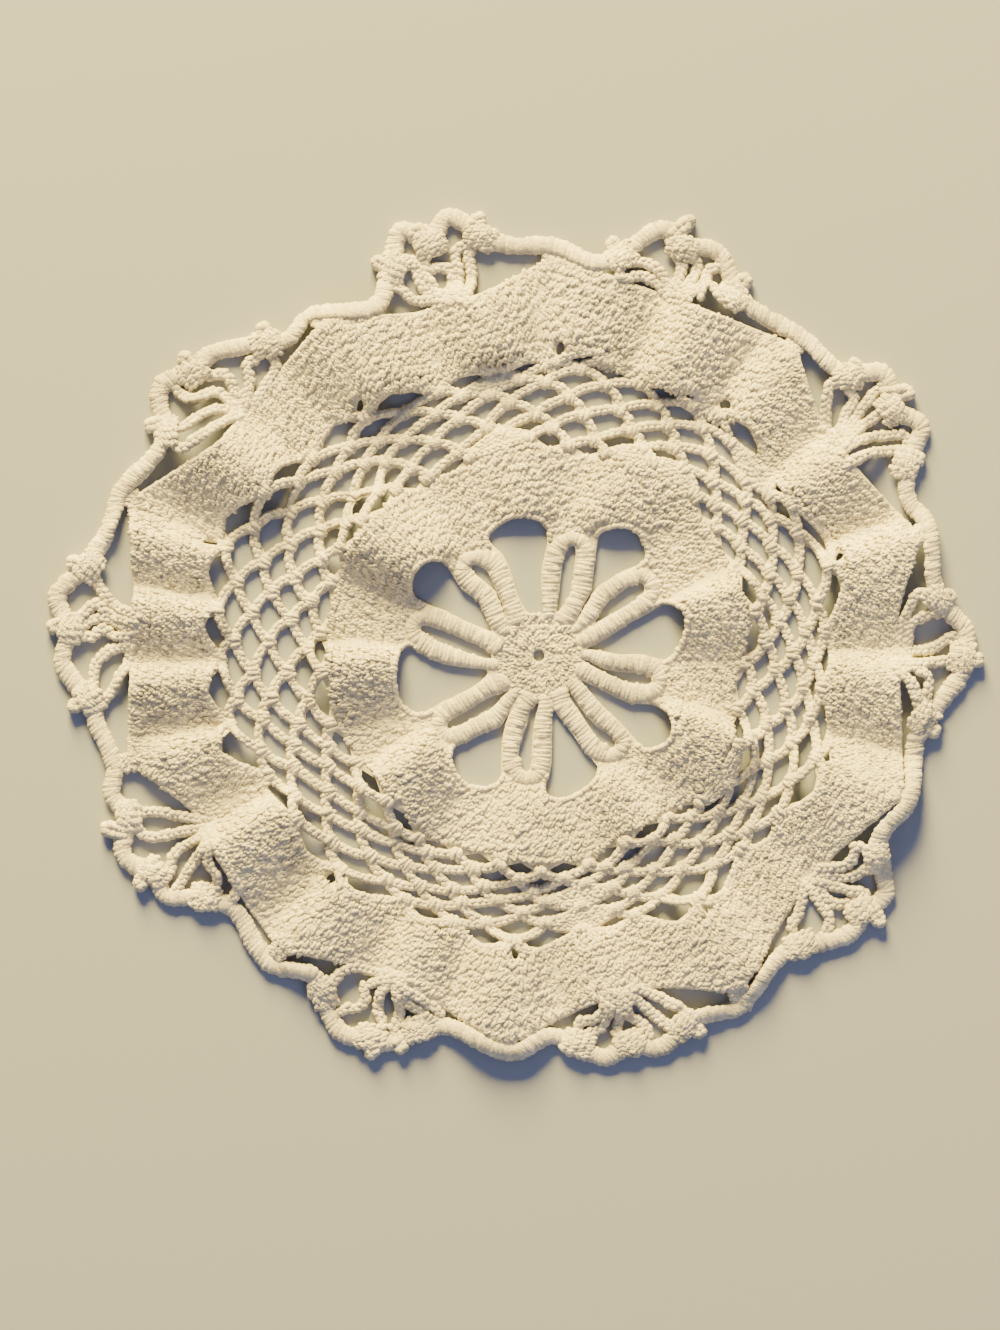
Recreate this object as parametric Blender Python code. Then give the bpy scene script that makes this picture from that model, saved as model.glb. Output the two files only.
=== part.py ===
"""Round lace doily, crocheted from the middle outwards in cream cotton, lying flat on a surface.

It is one piece of crochet, so it is one solid: a small disc, eight petals around it, a solid
band, a net of chain loops, a wider solid band with ten points, and a cord border that rises
into ten fans. The ground is about 2 mm thick and lies on z = 0, apart from the pillows where
the two solid bands have puckered up. +Z is up, and the origin is under the middle of the
outline.
"""
import math
from collections import namedtuple

import bpy
from mathutils import Vector
from mathutils.geometry import delaunay_2d_cdt

MM = 0.001
HUB = Vector((7.6, -6.0))  # the crochet's first ring, in mm from the middle of the outline

# Thickness of the crochet by zone, in mm
BAND_THICK = 2.2
NET_THICK = 1.8
BORDER_THICK = 2.2
CORD_CROWN = 3.2

# Widths seen from above, in mm
CENTRE_HOLE = 3.8
CHAIN_WIDTH = 3.1
LEG_WIDTH = 3.0
CORD_WIDTH = 6.6
PICOT_WIDTH = 4.2
SIDE_PICOT_LENGTH = 6.2
TOP_PICOT_LENGTH = 7.2

# The net: seven rows of gaps with thirty loops a row, three loops to a scallop
NET_ROWS = 7
NET_LOOPS = 30
KNOT_WANDER_DEG = 0.8
KNOT_WANDER_MM = 0.6
FOOT_ROOM = 1.25  # half chains kept clear at each foot of the first row's arches
BOTTOM_KEEP = 0.9  # how far a gap reaches down towards the knot below it
LEAST_KEEP = 0.3  # share of its room that the narrowest gap keeps open
SHOULDER_OUT = 0.55  # where an arch turns over, out from its middle and up to its top
SHOULDER_UP = 0.72
EDGE_SHOULDER_UP = 0.85  # where the outer band is the top of the gap

# Each fan has six chain legs in three pairs, a pair for each knot on the cord
LEG_FOOT_SHARE = (-1.0, -0.6, -0.2, 0.2, 0.6, 1.0)  # of the fan's half spread
LEG_BOW = 1.4  # mm that the two legs of a pair bow apart
LEG_HEAD_SHIFT = 0.4  # way from a side knot towards its arch where a pair of legs ends
LEG_ROOM_DEG = 0.8  # from the middle of an outermost leg to the side gap
LEG_FOOT_SUNK = 1.0  # mm that a leg starts inside the band's edge
LEG_HEAD_SUNK = 0.6  # of the cord's width, from its far edge, where a leg ends
SIDE_LEG_SHARE = 0.55  # way up the outermost leg where a side gap begins
SIDE_CORD_STEPS = (0.0, 0.5, 1.0, 1.4, 1.75)  # places along the cord, from the side knot
SIDE_BAND_SHARES = (0.0, 0.3, 0.6, 0.88)  # way along the band, from the legs' foot
SIDE_LEAST_ROOM = 0.5  # mm, a side gap ends where it is narrower
ARCH_FOOT_SHARE = 0.2  # ways up the legs, and places along the cord, round a gap under an arch
ARCH_LEG_SHARES = (0.5, 0.85)
FIRST_ARCH_STEPS = (1.5, 1.0, 0.7)
SECOND_ARCH_STEPS = (1.3, 1.0, 0.5)
PAIR_FOOT_SHARE, PAIR_WIDE_SHARE, PAIR_HEAD_SHARE = 0.25, 0.6, 0.88
BAND_EDGE_FLAT = 0.25  # share of the way from a fan's middle to a point where the edge is round
BAND_EDGE_POWER = 1.4

CORD_STEPS = 2  # outline points for each stretch of the cord
MERGE = 0.08  # mm, points closer than this become one

# Edges of the net, at the foot of each fan and at the point between, by turns (degrees, mm), and
# its lean: how many degrees the net's innermost row is turned from its outermost one
Ring = namedtuple("Ring", "deg net_in net_out lean")
RINGS = (
    Ring(1.5, 69.0, 97.0, 3.0), Ring(18.5, 72.0, 104.5, 4.0),
    Ring(35.0, 71.0, 98.0, 6.5), Ring(53.5, 74.0, 105.0, 6.5),
    Ring(69.0, 71.5, 101.5, 7.0), Ring(86.0, 70.5, 103.5, 8.0),
    Ring(105.0, 69.0, 95.5, 6.0), Ring(125.0, 70.0, 104.5, 6.5),
    Ring(141.0, 72.5, 103.0, 6.0), Ring(161.0, 72.0, 114.5, 2.0),
    Ring(176.0, 71.0, 111.5, 3.0), Ring(192.5, 71.5, 112.5, 5.0),
    Ring(207.0, 70.5, 100.5, 6.5), Ring(227.0, 69.0, 103.5, 6.5),
    Ring(244.0, 70.0, 95.0, 6.0), Ring(263.5, 69.5, 100.0, 7.5),
    Ring(284.0, 69.0, 93.5, 6.0), Ring(302.5, 66.5, 101.0, 6.0),
    Ring(320.5, 73.0, 95.0, 6.5), Ring(339.0, 68.5, 102.5, 7.5),
)

# The open spaces between the petals: a narrow inner tip and a round outer end (degrees, mm)
PetalGap = namedtuple("PetalGap", "tip_deg tip_r end_from end_to end_r")
PETAL_GAPS = (
    PetalGap(8.5, 16.0, -1.5, 22.5, 50.6),
    PetalGap(52.0, 27.0, 43.0, 64.5, 52.0),
    PetalGap(95.0, 12.5, 84.5, 113.5, 46.8),
    PetalGap(150.5, 18.0, 135.0, 156.0, 49.5),
    PetalGap(197.0, 18.0, 175.5, 207.0, 49.0),
    PetalGap(242.5, 25.0, 227.0, 252.0, 49.0),
    PetalGap(284.0, 18.5, 273.0, 297.5, 48.5),
    PetalGap(329.0, 16.0, 317.5, 338.0, 51.0),
)
GAP_END_DEPTH = 8.0  # mm from a petal gap's widest place to its outer end
GAP_FLARE = 0.55
GAP_SIDE_SHARES = (0.12, 0.45, 1.0)  # outline points from the tip to the widest place
GAP_END_TURNS = (-54, -18, 18, 54)  # outline points round the outer end, in degrees

# The slot along the middle of each petal (degrees, mm)
Slot = namedtuple("Slot", "outer_deg outer_r inner_deg inner_r width")
SLOTS = (
    Slot(34.6, 41.8, 31.6, 22.0, 5.6),
    Slot(72.0, 38.2, 65.0, 16.0, 5.2),
    Slot(123.6, 37.4, 133.5, 16.5, 3.4),
    Slot(167.4, 40.4, 178.5, 16.0, 4.6),
    Slot(218.6, 38.4, 226.5, 15.6, 4.2),
    Slot(262.4, 39.0, 267.5, 15.6, 4.6),
    Slot(309.2, 39.0, 309.5, 15.0, 3.8),
    Slot(347.4, 38.6, 353.0, 15.4, 3.6),
)
SLOT_SHAPE = ((0.2, 0.55), (0.6, 1.0), (0.9, 0.8))  # way along a slot, share of its width
HOLE_SIDES = 6

# A scallop's cord, fan by fan: from a dip up to a side knot, over an arch to the top knot, over
# a second arch to the other side knot, down to a dip and on to the band's next point. Each place
# is the middle of the cord, as degrees and mm from the hub; foot and point are the band's edge.
Fan = namedtuple(
    "Fan",
    "deg spread foot_r dip_deg dip_r knot_deg knot_r arch_deg arch_r top_deg top_r "
    "arch2_deg arch2_r knot2_deg knot2_r dip2_deg dip2_r point_deg point_r cord_deg cord_r",
)
FANS = (
    Fan(2.0, 4.6, 120.0, -13.5, 128.5, -9.5, 130.5, -3.0, 140.0, -0.2, 141.5,
        3.5, 142.0, 8.0, 134.5, 11.5, 133.5, 17.5, 133.0, 18.3, 136.5),
    Fan(36.0, 4.3, 122.5, 23.0, 133.5, 27.5, 138.5, 31.0, 148.5, 35.0, 144.0,
        39.2, 148.5, 42.3, 139.5, 45.0, 137.0, 50.5, 134.0, 50.5, 137.5),
    Fan(69.5, 3.6, 127.5, 57.0, 135.5, 61.3, 137.5, 66.0, 147.0, 70.5, 145.0,
        74.0, 148.0, 78.5, 136.5, 82.0, 132.0, 88.0, 133.0, 88.0, 136.5),
    Fan(104.8, 3.6, 121.5, 94.0, 137.0, 97.7, 141.5, 101.7, 149.5, 104.8, 146.5,
        108.0, 149.0, 110.9, 138.5, 115.5, 128.0, 122.5, 132.5, 123.5, 136.5),
    Fan(140.8, 3.2, 127.5, 128.0, 134.5, 131.0, 138.5, 137.0, 148.0, 140.5, 149.5,
        144.7, 154.5, 149.0, 145.5, 152.3, 144.0, 159.0, 146.0, 158.5, 149.5),
    Fan(177.5, 3.4, 136.0, 163.5, 149.5, 168.5, 153.5, 172.8, 161.5, 176.7, 157.0,
        181.0, 158.5, 185.5, 151.0, 189.5, 148.5, 194.5, 141.5, 194.5, 146.0),
    Fan(208.3, 3.2, 126.5, 198.0, 149.5, 201.3, 147.5, 205.7, 153.5, 209.5, 147.5,
        212.8, 147.5, 216.0, 137.5, 220.0, 132.0, 228.5, 130.5, 228.5, 136.0),
    Fan(245.0, 4.5, 119.5, 234.5, 130.0, 237.2, 134.0, 242.0, 141.5, 246.2, 139.5,
        249.0, 138.0, 252.3, 131.0, 257.0, 127.0, 265.0, 130.0, 265.5, 132.5),
    Fan(284.8, 3.9, 117.0, 271.5, 126.5, 275.5, 130.5, 279.3, 135.5, 283.2, 133.0,
        287.0, 136.5, 291.5, 133.0, 294.5, 131.5, 301.0, 130.5, 300.0, 134.5),
    Fan(321.3, 3.5, 118.5, 308.0, 128.5, 312.0, 130.5, 317.8, 138.5, 321.7, 137.5,
        325.5, 140.0, 329.3, 131.5, 332.5, 128.0, 339.0, 129.5, 339.0, 132.0),
)
CORD_PLACES = ("dip", "knot", "arch", "top", "arch2", "knot2", "dip2", "cord")
PLACES = len(CORD_PLACES)
KNOT, TOP, KNOT2 = (CORD_PLACES.index(name) for name in ("knot", "top", "knot2"))
PICOT_ROOT = 0.9  # half widths of a picot where it leaves the cord, and round its tip
PICOT_TIP = 0.45

# Pillows where the solid bands pucker: middle and half size (degrees, mm) and height in mm
Pillow = namedtuple("Pillow", "deg half_deg r half_r height")
PILLOWS = (
    Pillow(11, 12, 61, 17, 3.2), Pillow(60, 17, 62, 16, 2.4), Pillow(96, 15, 60, 16, 2.0),
    Pillow(142, 17, 62, 19, 5.5), Pillow(189, 12, 61, 17, 4.2), Pillow(224, 14, 60, 17, 3.6),
    Pillow(265, 18, 60, 16, 2.2), Pillow(298, 10, 59, 16, 2.0), Pillow(326, 14, 62, 18, 4.2),
    Pillow(11, 9, 116, 23, 4.0), Pillow(30, 7, 112, 20, 3.2), Pillow(46, 7, 118, 20, 2.0),
    Pillow(62, 8, 116, 22, 3.8), Pillow(82, 9, 118, 20, 2.2), Pillow(99, 9, 108, 17, 4.5),
    Pillow(121, 11, 116, 21, 5.2), Pillow(149, 9, 122, 24, 5.2), Pillow(163, 5, 128, 22, 2.6),
    Pillow(174, 5, 122, 20, 3.2), Pillow(186, 5, 122, 20, 3.2), Pillow(197, 5, 120, 22, 2.6),
    Pillow(214, 8, 112, 20, 4.4), Pillow(227, 7, 118, 20, 3.6), Pillow(245, 8, 110, 18, 2.2),
    Pillow(263, 10, 114, 22, 3.2), Pillow(283, 9, 108, 17, 2.2), Pillow(303, 10, 114, 22, 3.2),
    Pillow(331, 11, 112, 24, 4.6), Pillow(354, 7, 110, 20, 3.2),
)
FOLD_WAY = 0.42  # bends on either side of a pillow's middle, as a share of its half size
FOLD_SPACING = 5.0  # mm between one bend and the next
CREAM = (0.80, 0.70, 0.52, 1.0)
ROUGHNESS = 0.9


def polar(deg, radius):
    """The point at an angle and a radius from the hub, in mm."""
    angle = math.radians(deg)
    return Vector((radius * math.cos(angle), radius * math.sin(angle)))


def wander(row, loop, axis):
    """A fixed irregularity between -1 and 1, for hand-made knots."""
    return 2.0 * math.modf(abs(math.sin(12.99 * row + 78.23 * loop + 37.7 * axis)) * 437.6)[0] - 1.0


def around(column, deg):
    """A column of RINGS at any angle, read smoothly from row to row."""
    place = (deg - RINGS[0].deg) % 360.0 + RINGS[0].deg
    for index, row in enumerate(RINGS):
        after = RINGS[(index + 1) % len(RINGS)]
        after_deg = after.deg + (360.0 if after.deg < row.deg else 0.0)
        if row.deg <= place <= after_deg:
            share = (place - row.deg) / (after_deg - row.deg)
            ease = 0.5 - 0.5 * math.cos(math.pi * share)
            return getattr(row, column) * (1.0 - ease) + getattr(after, column) * ease
    return getattr(RINGS[0], column)


def ring_deg(step):
    """Angle of a whole or fractional step through RINGS."""
    index = math.floor(step)
    here = RINGS[index % len(RINGS)].deg + 360.0 * (index // len(RINGS))
    after = RINGS[(index + 1) % len(RINGS)].deg + 360.0 * ((index + 1) // len(RINGS))
    return here + (after - here) * (step - index)


def net_knot(row, loop):
    """A knot of the net: row 0 is on the inner band, row NET_ROWS is on the outer one."""
    share = row / NET_ROWS
    step = (2 * loop + (1 if row % 2 == 0 else 0)) / 3.0
    deg = ring_deg(step)
    deg += around("lean", deg) * (1.0 - share)
    inside = around("net_in", deg)
    radius = inside + (around("net_out", deg) - inside) * share
    if 0 < row < NET_ROWS:
        deg += KNOT_WANDER_DEG * wander(row, loop, 0)
        radius += KNOT_WANDER_MM * wander(row, loop, 1)
    return polar(deg, radius)


def net_gap(row, loop):
    """One gap of the net: round at the top, under its chain arch, and pointed at the bottom."""
    shift = 1 if row % 2 else 0
    left = net_knot(row, loop + shift)
    right = net_knot(row, loop + shift - 1)
    top = net_knot(row + 1, loop)
    half_chain = CHAIN_WIDTH / 2
    if row == 0:
        middle = (left + right) / 2
        side = (left - right) / 2
        up = top - middle
        across = side * (1.0 - FOOT_ROOM * half_chain / side.length)
        crown = up * (1.0 - half_chain / up.length)
        shoulder = crown * SHOULDER_UP
        return [middle + across, middle - across, middle - across * SHOULDER_OUT + shoulder,
                middle + crown, middle + across * SHOULDER_OUT + shoulder]
    bottom = net_knot(row - 1, loop)
    middle = (left + right + top + bottom) / 4
    wide = (left - right).length / 2
    high = (top - bottom).length / 2
    keep = max(LEAST_KEEP, 1.0 - half_chain * math.hypot(wide, high) / (wide * high))
    outermost = row == NET_ROWS - 1
    crown = (top - middle) * (1.0 if outermost else keep)
    shoulder = crown * (EDGE_SHOULDER_UP if outermost else SHOULDER_UP)
    left_side = (left - middle) * keep
    right_side = (right - middle) * keep
    return [middle + left_side, middle + (bottom - middle) * keep * BOTTOM_KEEP,
            middle + right_side, middle + right_side * SHOULDER_OUT + shoulder,
            middle + crown, middle + left_side * SHOULDER_OUT + shoulder]


def petal_gap(row):
    """The teardrop between two petals."""
    wide_r = row.end_r - GAP_END_DEPTH
    middle_deg = (row.end_from + row.end_to) / 2
    half_deg = (row.end_to - row.end_from) / 2
    first, last = [], []
    for share in GAP_SIDE_SHARES:
        radius = row.tip_r + (wide_r - row.tip_r) * share
        flare = share ** GAP_FLARE
        first.append(polar(row.tip_deg + (row.end_from - row.tip_deg) * flare, radius))
        last.append(polar(row.tip_deg + (row.end_to - row.tip_deg) * flare, radius))
    end = []
    for turn in GAP_END_TURNS:
        angle = math.radians(turn)
        end.append(polar(middle_deg + half_deg * math.sin(angle),
                         wide_r + GAP_END_DEPTH * math.cos(angle)))
    return [polar(row.tip_deg, row.tip_r)] + first + end + last[::-1]


def slot_gap(row):
    """The slot between the two bars of a petal, widest towards its outer end."""
    start = polar(row.inner_deg, row.inner_r)
    end = polar(row.outer_deg, row.outer_r)
    across = (end - start).orthogonal().normalized() * row.width / 2
    one, other = [], []
    for share, width in SLOT_SHAPE:
        place = start.lerp(end, share)
        one.append(place + across * width)
        other.append(place - across * width)
    return [start] + other + [end] + one[::-1]


def centre_hole():
    """The ring in the middle that the first stitches are worked into."""
    return [polar(360 / HOLE_SIDES * side, CENTRE_HOLE / 2) for side in range(HOLE_SIDES)]


def cord_places():
    """The middle of the cord all the way round, in order, eight places for each fan."""
    places = []
    for fan in FANS:
        for name in CORD_PLACES:
            places.append(polar(getattr(fan, name + "_deg"), getattr(fan, name + "_r")))
    return places


CORD = cord_places()


def cord_middle(place):
    """A point on the cord's smooth middle line; whole numbers are the places of FANS."""
    index = math.floor(place)
    share = place - index
    before, here, after, beyond = (CORD[(index + step) % len(CORD)] for step in (-1, 0, 1, 2))
    return 0.5 * (2 * here + (after - before) * share
                  + (2 * before - 5 * here + 4 * after - beyond) * share ** 2
                  + (3 * here - before - 3 * after + beyond) * share ** 3)


def cord_outward(place):
    """Unit direction out of the doily, across the cord."""
    step = 0.1
    along = cord_middle(place + step) - cord_middle(place - step)
    return Vector((along.y, -along.x)).normalized()


def cord_edge(place, width):
    """A point of the cord's outer edge, or of its inner edge where the width is negative."""
    return cord_middle(place) + cord_outward(place) * width / 2


def band_edge(fan_index, deg):
    """Radius of the outer band's edge beside a fan: round at its foot, then out to a point."""
    fan = FANS[fan_index % len(FANS)]
    point = fan if deg > fan.deg else FANS[fan_index - 1]
    point_deg = point.point_deg - (360.0 if point.point_deg > deg + 180.0 else 0.0)
    way = abs(deg - fan.deg) / abs(point_deg - fan.deg)
    rise = max(0.0, (way - BAND_EDGE_FLAT) / (1.0 - BAND_EDGE_FLAT)) ** BAND_EDGE_POWER
    return fan.foot_r + (point.point_r - fan.foot_r) * rise


def leg_middle(fan_index, leg, share):
    """A point on the middle line of one of a fan's six legs, from its foot to its knot."""
    fan = FANS[fan_index]
    foot = polar(fan.deg + fan.spread * LEG_FOOT_SHARE[leg], fan.foot_r - LEG_FOOT_SUNK)
    place = (KNOT + LEG_HEAD_SHIFT, TOP, KNOT2 - LEG_HEAD_SHIFT)[leg // 2]
    head = cord_edge(PLACES * fan_index + place, -CORD_WIDTH * LEG_HEAD_SUNK)
    side = Vector((foot.y - head.y, head.x - foot.x)).normalized()
    bow = LEG_BOW * math.sin(math.pi * share) * (1 if leg % 2 else -1)
    return foot.lerp(head, share) + side * bow


def leg_side(fan_index, leg, share, side):
    """A point on a leg's edge; side is +1 for the edge at the greater angle."""
    step = 0.05
    along = leg_middle(fan_index, leg, share + step) - leg_middle(fan_index, leg, share - step)
    across = Vector((-along.y, along.x)).normalized()
    return leg_middle(fan_index, leg, share) + across * side * LEG_WIDTH / 2


def between_legs(fan_index, leg, share):
    """The point halfway between a leg and the next one, part of the way up them."""
    return leg_middle(fan_index, leg, share).lerp(leg_middle(fan_index, leg + 1, share), 0.5)


def side_gap(fan_index, second):
    """The long gap between the band, the cord and the outermost leg on one side of a fan."""
    fan = FANS[fan_index]
    first_place = PLACES * fan_index
    if second:
        places = [first_place + KNOT2 + step for step in SIDE_CORD_STEPS]
        leg, turn, far = 5, 1, fan.point_deg
    else:
        places = [first_place + KNOT - step for step in SIDE_CORD_STEPS]
        leg, turn = 0, -1
        far = FANS[fan_index - 1].point_deg - (360.0 if fan_index == 0 else 0.0)
    foot_deg = fan.deg + turn * (fan.spread + LEG_ROOM_DEG)
    upper = [leg_side(fan_index, leg, SIDE_LEG_SHARE, turn)]
    lower = []
    for place in places:
        upper.append(cord_edge(place, -CORD_WIDTH))
    for share in SIDE_BAND_SHARES:
        deg = foot_deg + (far - foot_deg) * share
        lower.append(polar(deg, band_edge(fan_index, deg)))
    kept = [point for point in upper if band_clearance(fan_index, point) > SIDE_LEAST_ROOM]
    floor = [point for point in lower if cord_clearance(point, places) > SIDE_LEAST_ROOM]
    if len(kept) < 2 or not floor:
        return []
    return kept + floor[::-1]


def band_clearance(fan_index, point):
    """How far a point lies outside the band's edge, in mm."""
    deg = math.degrees(math.atan2(point.y, point.x))
    deg += 360.0 * round((FANS[fan_index].deg - deg) / 360.0)
    return point.length - band_edge(fan_index, deg)


def cord_clearance(point, places):
    """How far a point lies inside the cord's inner edge, in mm, along a run of the cord."""
    place = min(places, key=lambda at: (cord_middle(at) - point).length)
    return (cord_edge(place, -CORD_WIDTH) - point).dot(cord_outward(place))


def arch_gap(fan_index, second):
    """The gap under one of a fan's two arches, between two pairs of legs."""
    low_leg = 3 if second else 1
    start = PLACES * fan_index + (TOP if second else KNOT)
    gap = [between_legs(fan_index, low_leg, ARCH_FOOT_SHARE)]
    for share in ARCH_LEG_SHARES:
        gap.append(leg_side(fan_index, low_leg + 1, share, -1))
    for step in SECOND_ARCH_STEPS if second else FIRST_ARCH_STEPS:
        gap.append(cord_edge(start + step, -CORD_WIDTH))
    for share in ARCH_LEG_SHARES[::-1]:
        gap.append(leg_side(fan_index, low_leg, share, 1))
    return gap


def pair_gap(fan_index, pair):
    """The slit between the two legs of a pair."""
    low, high = 2 * pair, 2 * pair + 1
    start = between_legs(fan_index, low, PAIR_FOOT_SHARE)
    end = between_legs(fan_index, low, PAIR_HEAD_SHARE)
    return [start, leg_side(fan_index, high, PAIR_WIDE_SHARE, -1), end,
            leg_side(fan_index, low, PAIR_WIDE_SHARE, 1)]


def clockwise_area(loop):
    """Signed area of a loop in mm2, positive where it runs anticlockwise."""
    return 0.5 * sum(a.x * b.y - b.x * a.y for a, b in zip(loop, loop[1:] + loop[:1]))


def gaps():
    """Every gap that goes through the doily."""
    loops = [centre_hole()]
    loops += [petal_gap(row) for row in PETAL_GAPS]
    loops += [slot_gap(row) for row in SLOTS]
    loops += [net_gap(row, loop) for row in range(NET_ROWS) for loop in range(NET_LOOPS)]
    for index in range(len(FANS)):
        loops += [side_gap(index, False), side_gap(index, True)]
        loops += [arch_gap(index, False), arch_gap(index, True)]
        loops += [pair_gap(index, pair) for pair in range(3)]
    return [loop for loop in loops if len(loop) > 2]


def cord_patches():
    """Patches from the cord's middle out to its edge, and the picots on its knots."""
    steps = [step / CORD_STEPS for step in range(len(CORD) * CORD_STEPS)]
    middle = [cord_middle(place) for place in steps]
    outer = [cord_edge(place, CORD_WIDTH) for place in steps]
    patches = []
    for index in range(len(steps)):
        after = (index + 1) % len(steps)
        patches.append([middle[index], outer[index], outer[after], middle[after]])
    for index in range(len(FANS)):
        for knot in (KNOT, TOP, KNOT2):
            length = TOP_PICOT_LENGTH if knot == TOP else SIDE_PICOT_LENGTH
            patches.append(picot(PLACES * index + knot, length))
    return middle, patches


def picot(place, length):
    """A small round loop of chain that stands out from the cord, as seen from above."""
    root = cord_middle(place)
    out = cord_outward(place)
    along = Vector((-out.y, out.x)) * PICOT_WIDTH / 2
    neck = root + out * (length - PICOT_WIDTH * PICOT_TIP)
    tip = root + out * length
    return [root - along * PICOT_ROOT, neck - along, tip - along * PICOT_TIP,
            tip + along * PICOT_TIP, neck + along, root + along * PICOT_ROOT]


def fold_points():
    """Points on and around each pillow, so that the sheet can bend there."""
    points = []
    for pillow in PILLOWS:
        for turn in (-1.0, 0.0, 1.0):
            for way in (-FOLD_WAY, FOLD_WAY):
                point = polar(pillow.deg + pillow.half_deg * turn, pillow.r + pillow.half_r * way)
                if all((point - other).length > FOLD_SPACING for other in points):
                    points.append(point)
    return points


def lift(point):
    """Height of the sheet's underside over the surface at a point, in mm."""
    radius = point.length
    deg = math.degrees(math.atan2(point.y, point.x))
    height = 0.0
    for pillow in PILLOWS:
        turn = abs((deg - pillow.deg + 180.0) % 360.0 - 180.0) / pillow.half_deg
        way = abs(radius - pillow.r) / pillow.half_r
        if turn < 1.0 and way < 1.0:
            height += pillow.height * math.cos(turn * math.pi / 2) ** 2 * (1.0 - way ** 4)
    return height


def thickness(point, on_cord):
    """Thickness of the crochet at a point, in mm."""
    if on_cord:
        return CORD_CROWN
    deg = math.degrees(math.atan2(point.y, point.x))
    if point.length < around("net_in", deg):
        return BAND_THICK
    if point.length < around("net_out", deg) - CHAIN_WIDTH:
        return NET_THICK
    return BORDER_THICK


def plan():
    """Flat triangles of the doily seen from above, with a point list in mm from the hub."""
    middle, patches = cord_patches()
    solid_loops = [middle] + patches
    loops = solid_loops + gaps()
    points, faces = [], []
    for loop in loops:
        if clockwise_area(loop) < 0.0:
            loop = loop[::-1]
        faces.append(list(range(len(points), len(points) + len(loop))))
        points += loop
    points += fold_points()
    cut = delaunay_2d_cdt(points, [], faces, 0, MERGE)
    solid_count = len(solid_loops)
    kept = [face for face, source in zip(cut[2], cut[5])
            if source and min(source) < solid_count and max(source) < solid_count]
    crown = {index for index, source in enumerate(cut[3])
             if any(item < len(middle) for item in source)}
    return cut[0], kept, crown


def doily():
    """The sheet as one closed body: a top, an underside and a wall round every edge."""
    flat, triangles, crown = plan()
    used = sorted({index for face in triangles for index in face})
    number = {index: order for order, index in enumerate(used)}
    low, high = [], []
    for index in used:
        point = flat[index]
        height = lift(point)
        low.append(Vector((point.x + HUB.x, point.y + HUB.y, height)) * MM)
        high.append(low[-1] + Vector((0, 0, thickness(point, index in crown) * MM)))
    count = len(used)
    faces, edges = [], set()
    for face in triangles:
        a, b, c = (number[index] for index in face)
        faces += [(a + count, b + count, c + count), (c, b, a)]
        edges |= {(a, b), (b, c), (c, a)}
    for a, b in edges:
        if (b, a) not in edges:
            faces += [(a, b, b + count), (a, b + count, a + count)]
    mesh = bpy.data.meshes.new("doily")
    mesh.from_pydata(low + high, [], faces)
    mesh.materials.append(cotton())
    body = bpy.data.objects.new("doily", mesh)
    bpy.context.scene.collection.objects.link(body)
    return body


def cotton():
    """Cream crochet cotton."""
    material = bpy.data.materials.new("cream_cotton")
    material.use_nodes = True
    shader = material.node_tree.nodes["Principled BSDF"]
    shader.inputs["Base Color"].default_value = CREAM
    shader.inputs["Roughness"].default_value = ROUGHNESS
    shader.inputs["Metallic"].default_value = 0.0
    return material


for leftover in list(bpy.data.objects):
    bpy.data.objects.remove(leftover, do_unlink=True)
doily()
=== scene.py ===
"""Round lace doily, crocheted from the middle outwards in cream cotton, lying flat on a surface.

The sections follow the crochet hook: the disc, the petals, the inner band, the net, the outer
band, the fans, the cord and its picots, and then the ground that closes the cloth between the
stitches. All plan sizes are in mm from the hub, the ring of thread that the work starts on.
"""
import math
from collections import namedtuple

import bpy
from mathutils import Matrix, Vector, noise
from mathutils.geometry import delaunay_2d_cdt


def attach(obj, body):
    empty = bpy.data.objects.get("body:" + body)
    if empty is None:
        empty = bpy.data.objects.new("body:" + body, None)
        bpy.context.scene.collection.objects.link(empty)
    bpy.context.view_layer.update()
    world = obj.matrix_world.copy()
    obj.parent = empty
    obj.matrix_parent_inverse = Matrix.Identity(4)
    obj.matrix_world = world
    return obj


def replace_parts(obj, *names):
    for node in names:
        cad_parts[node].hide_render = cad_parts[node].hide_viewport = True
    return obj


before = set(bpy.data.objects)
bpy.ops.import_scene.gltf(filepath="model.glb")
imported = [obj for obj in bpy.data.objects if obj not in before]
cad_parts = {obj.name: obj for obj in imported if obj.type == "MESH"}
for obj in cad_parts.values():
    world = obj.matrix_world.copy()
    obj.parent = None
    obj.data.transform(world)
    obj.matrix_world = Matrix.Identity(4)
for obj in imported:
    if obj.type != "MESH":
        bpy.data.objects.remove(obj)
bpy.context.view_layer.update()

# --------------------------------------------------------------------------------------------
# The disc. Six rounds of single crochet in soft cotton thread, worked into a ring of thread
# that stays open as a small hole. Every stitch shows two plump strands that lean apart.

MM = 0.001
HUB = Vector((7.6, -6.0))  # from the middle of the doily's outline
HUB_RING, HUB_PITCH = 2.7, 1.3  # mm from the hub to the middle of the thread, and along it
DISC_FIRST_ROUND, DISC_ROUND, DISC_ROUNDS = 4.1, 1.9, 6
BAND_THICK = 2.2
STITCH_PITCH = 1.5
BY_HAND = {"turn_deg": 28.0, "swell": 0.24}  # how unevenly single crochet is worked
DRIFT_LENGTH = 7.0  # mm along which a hand-worked round strays and comes back
PILLOW_ROUNDNESS, PILLOW_FULLNESS = 1.3, 1.22

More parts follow.
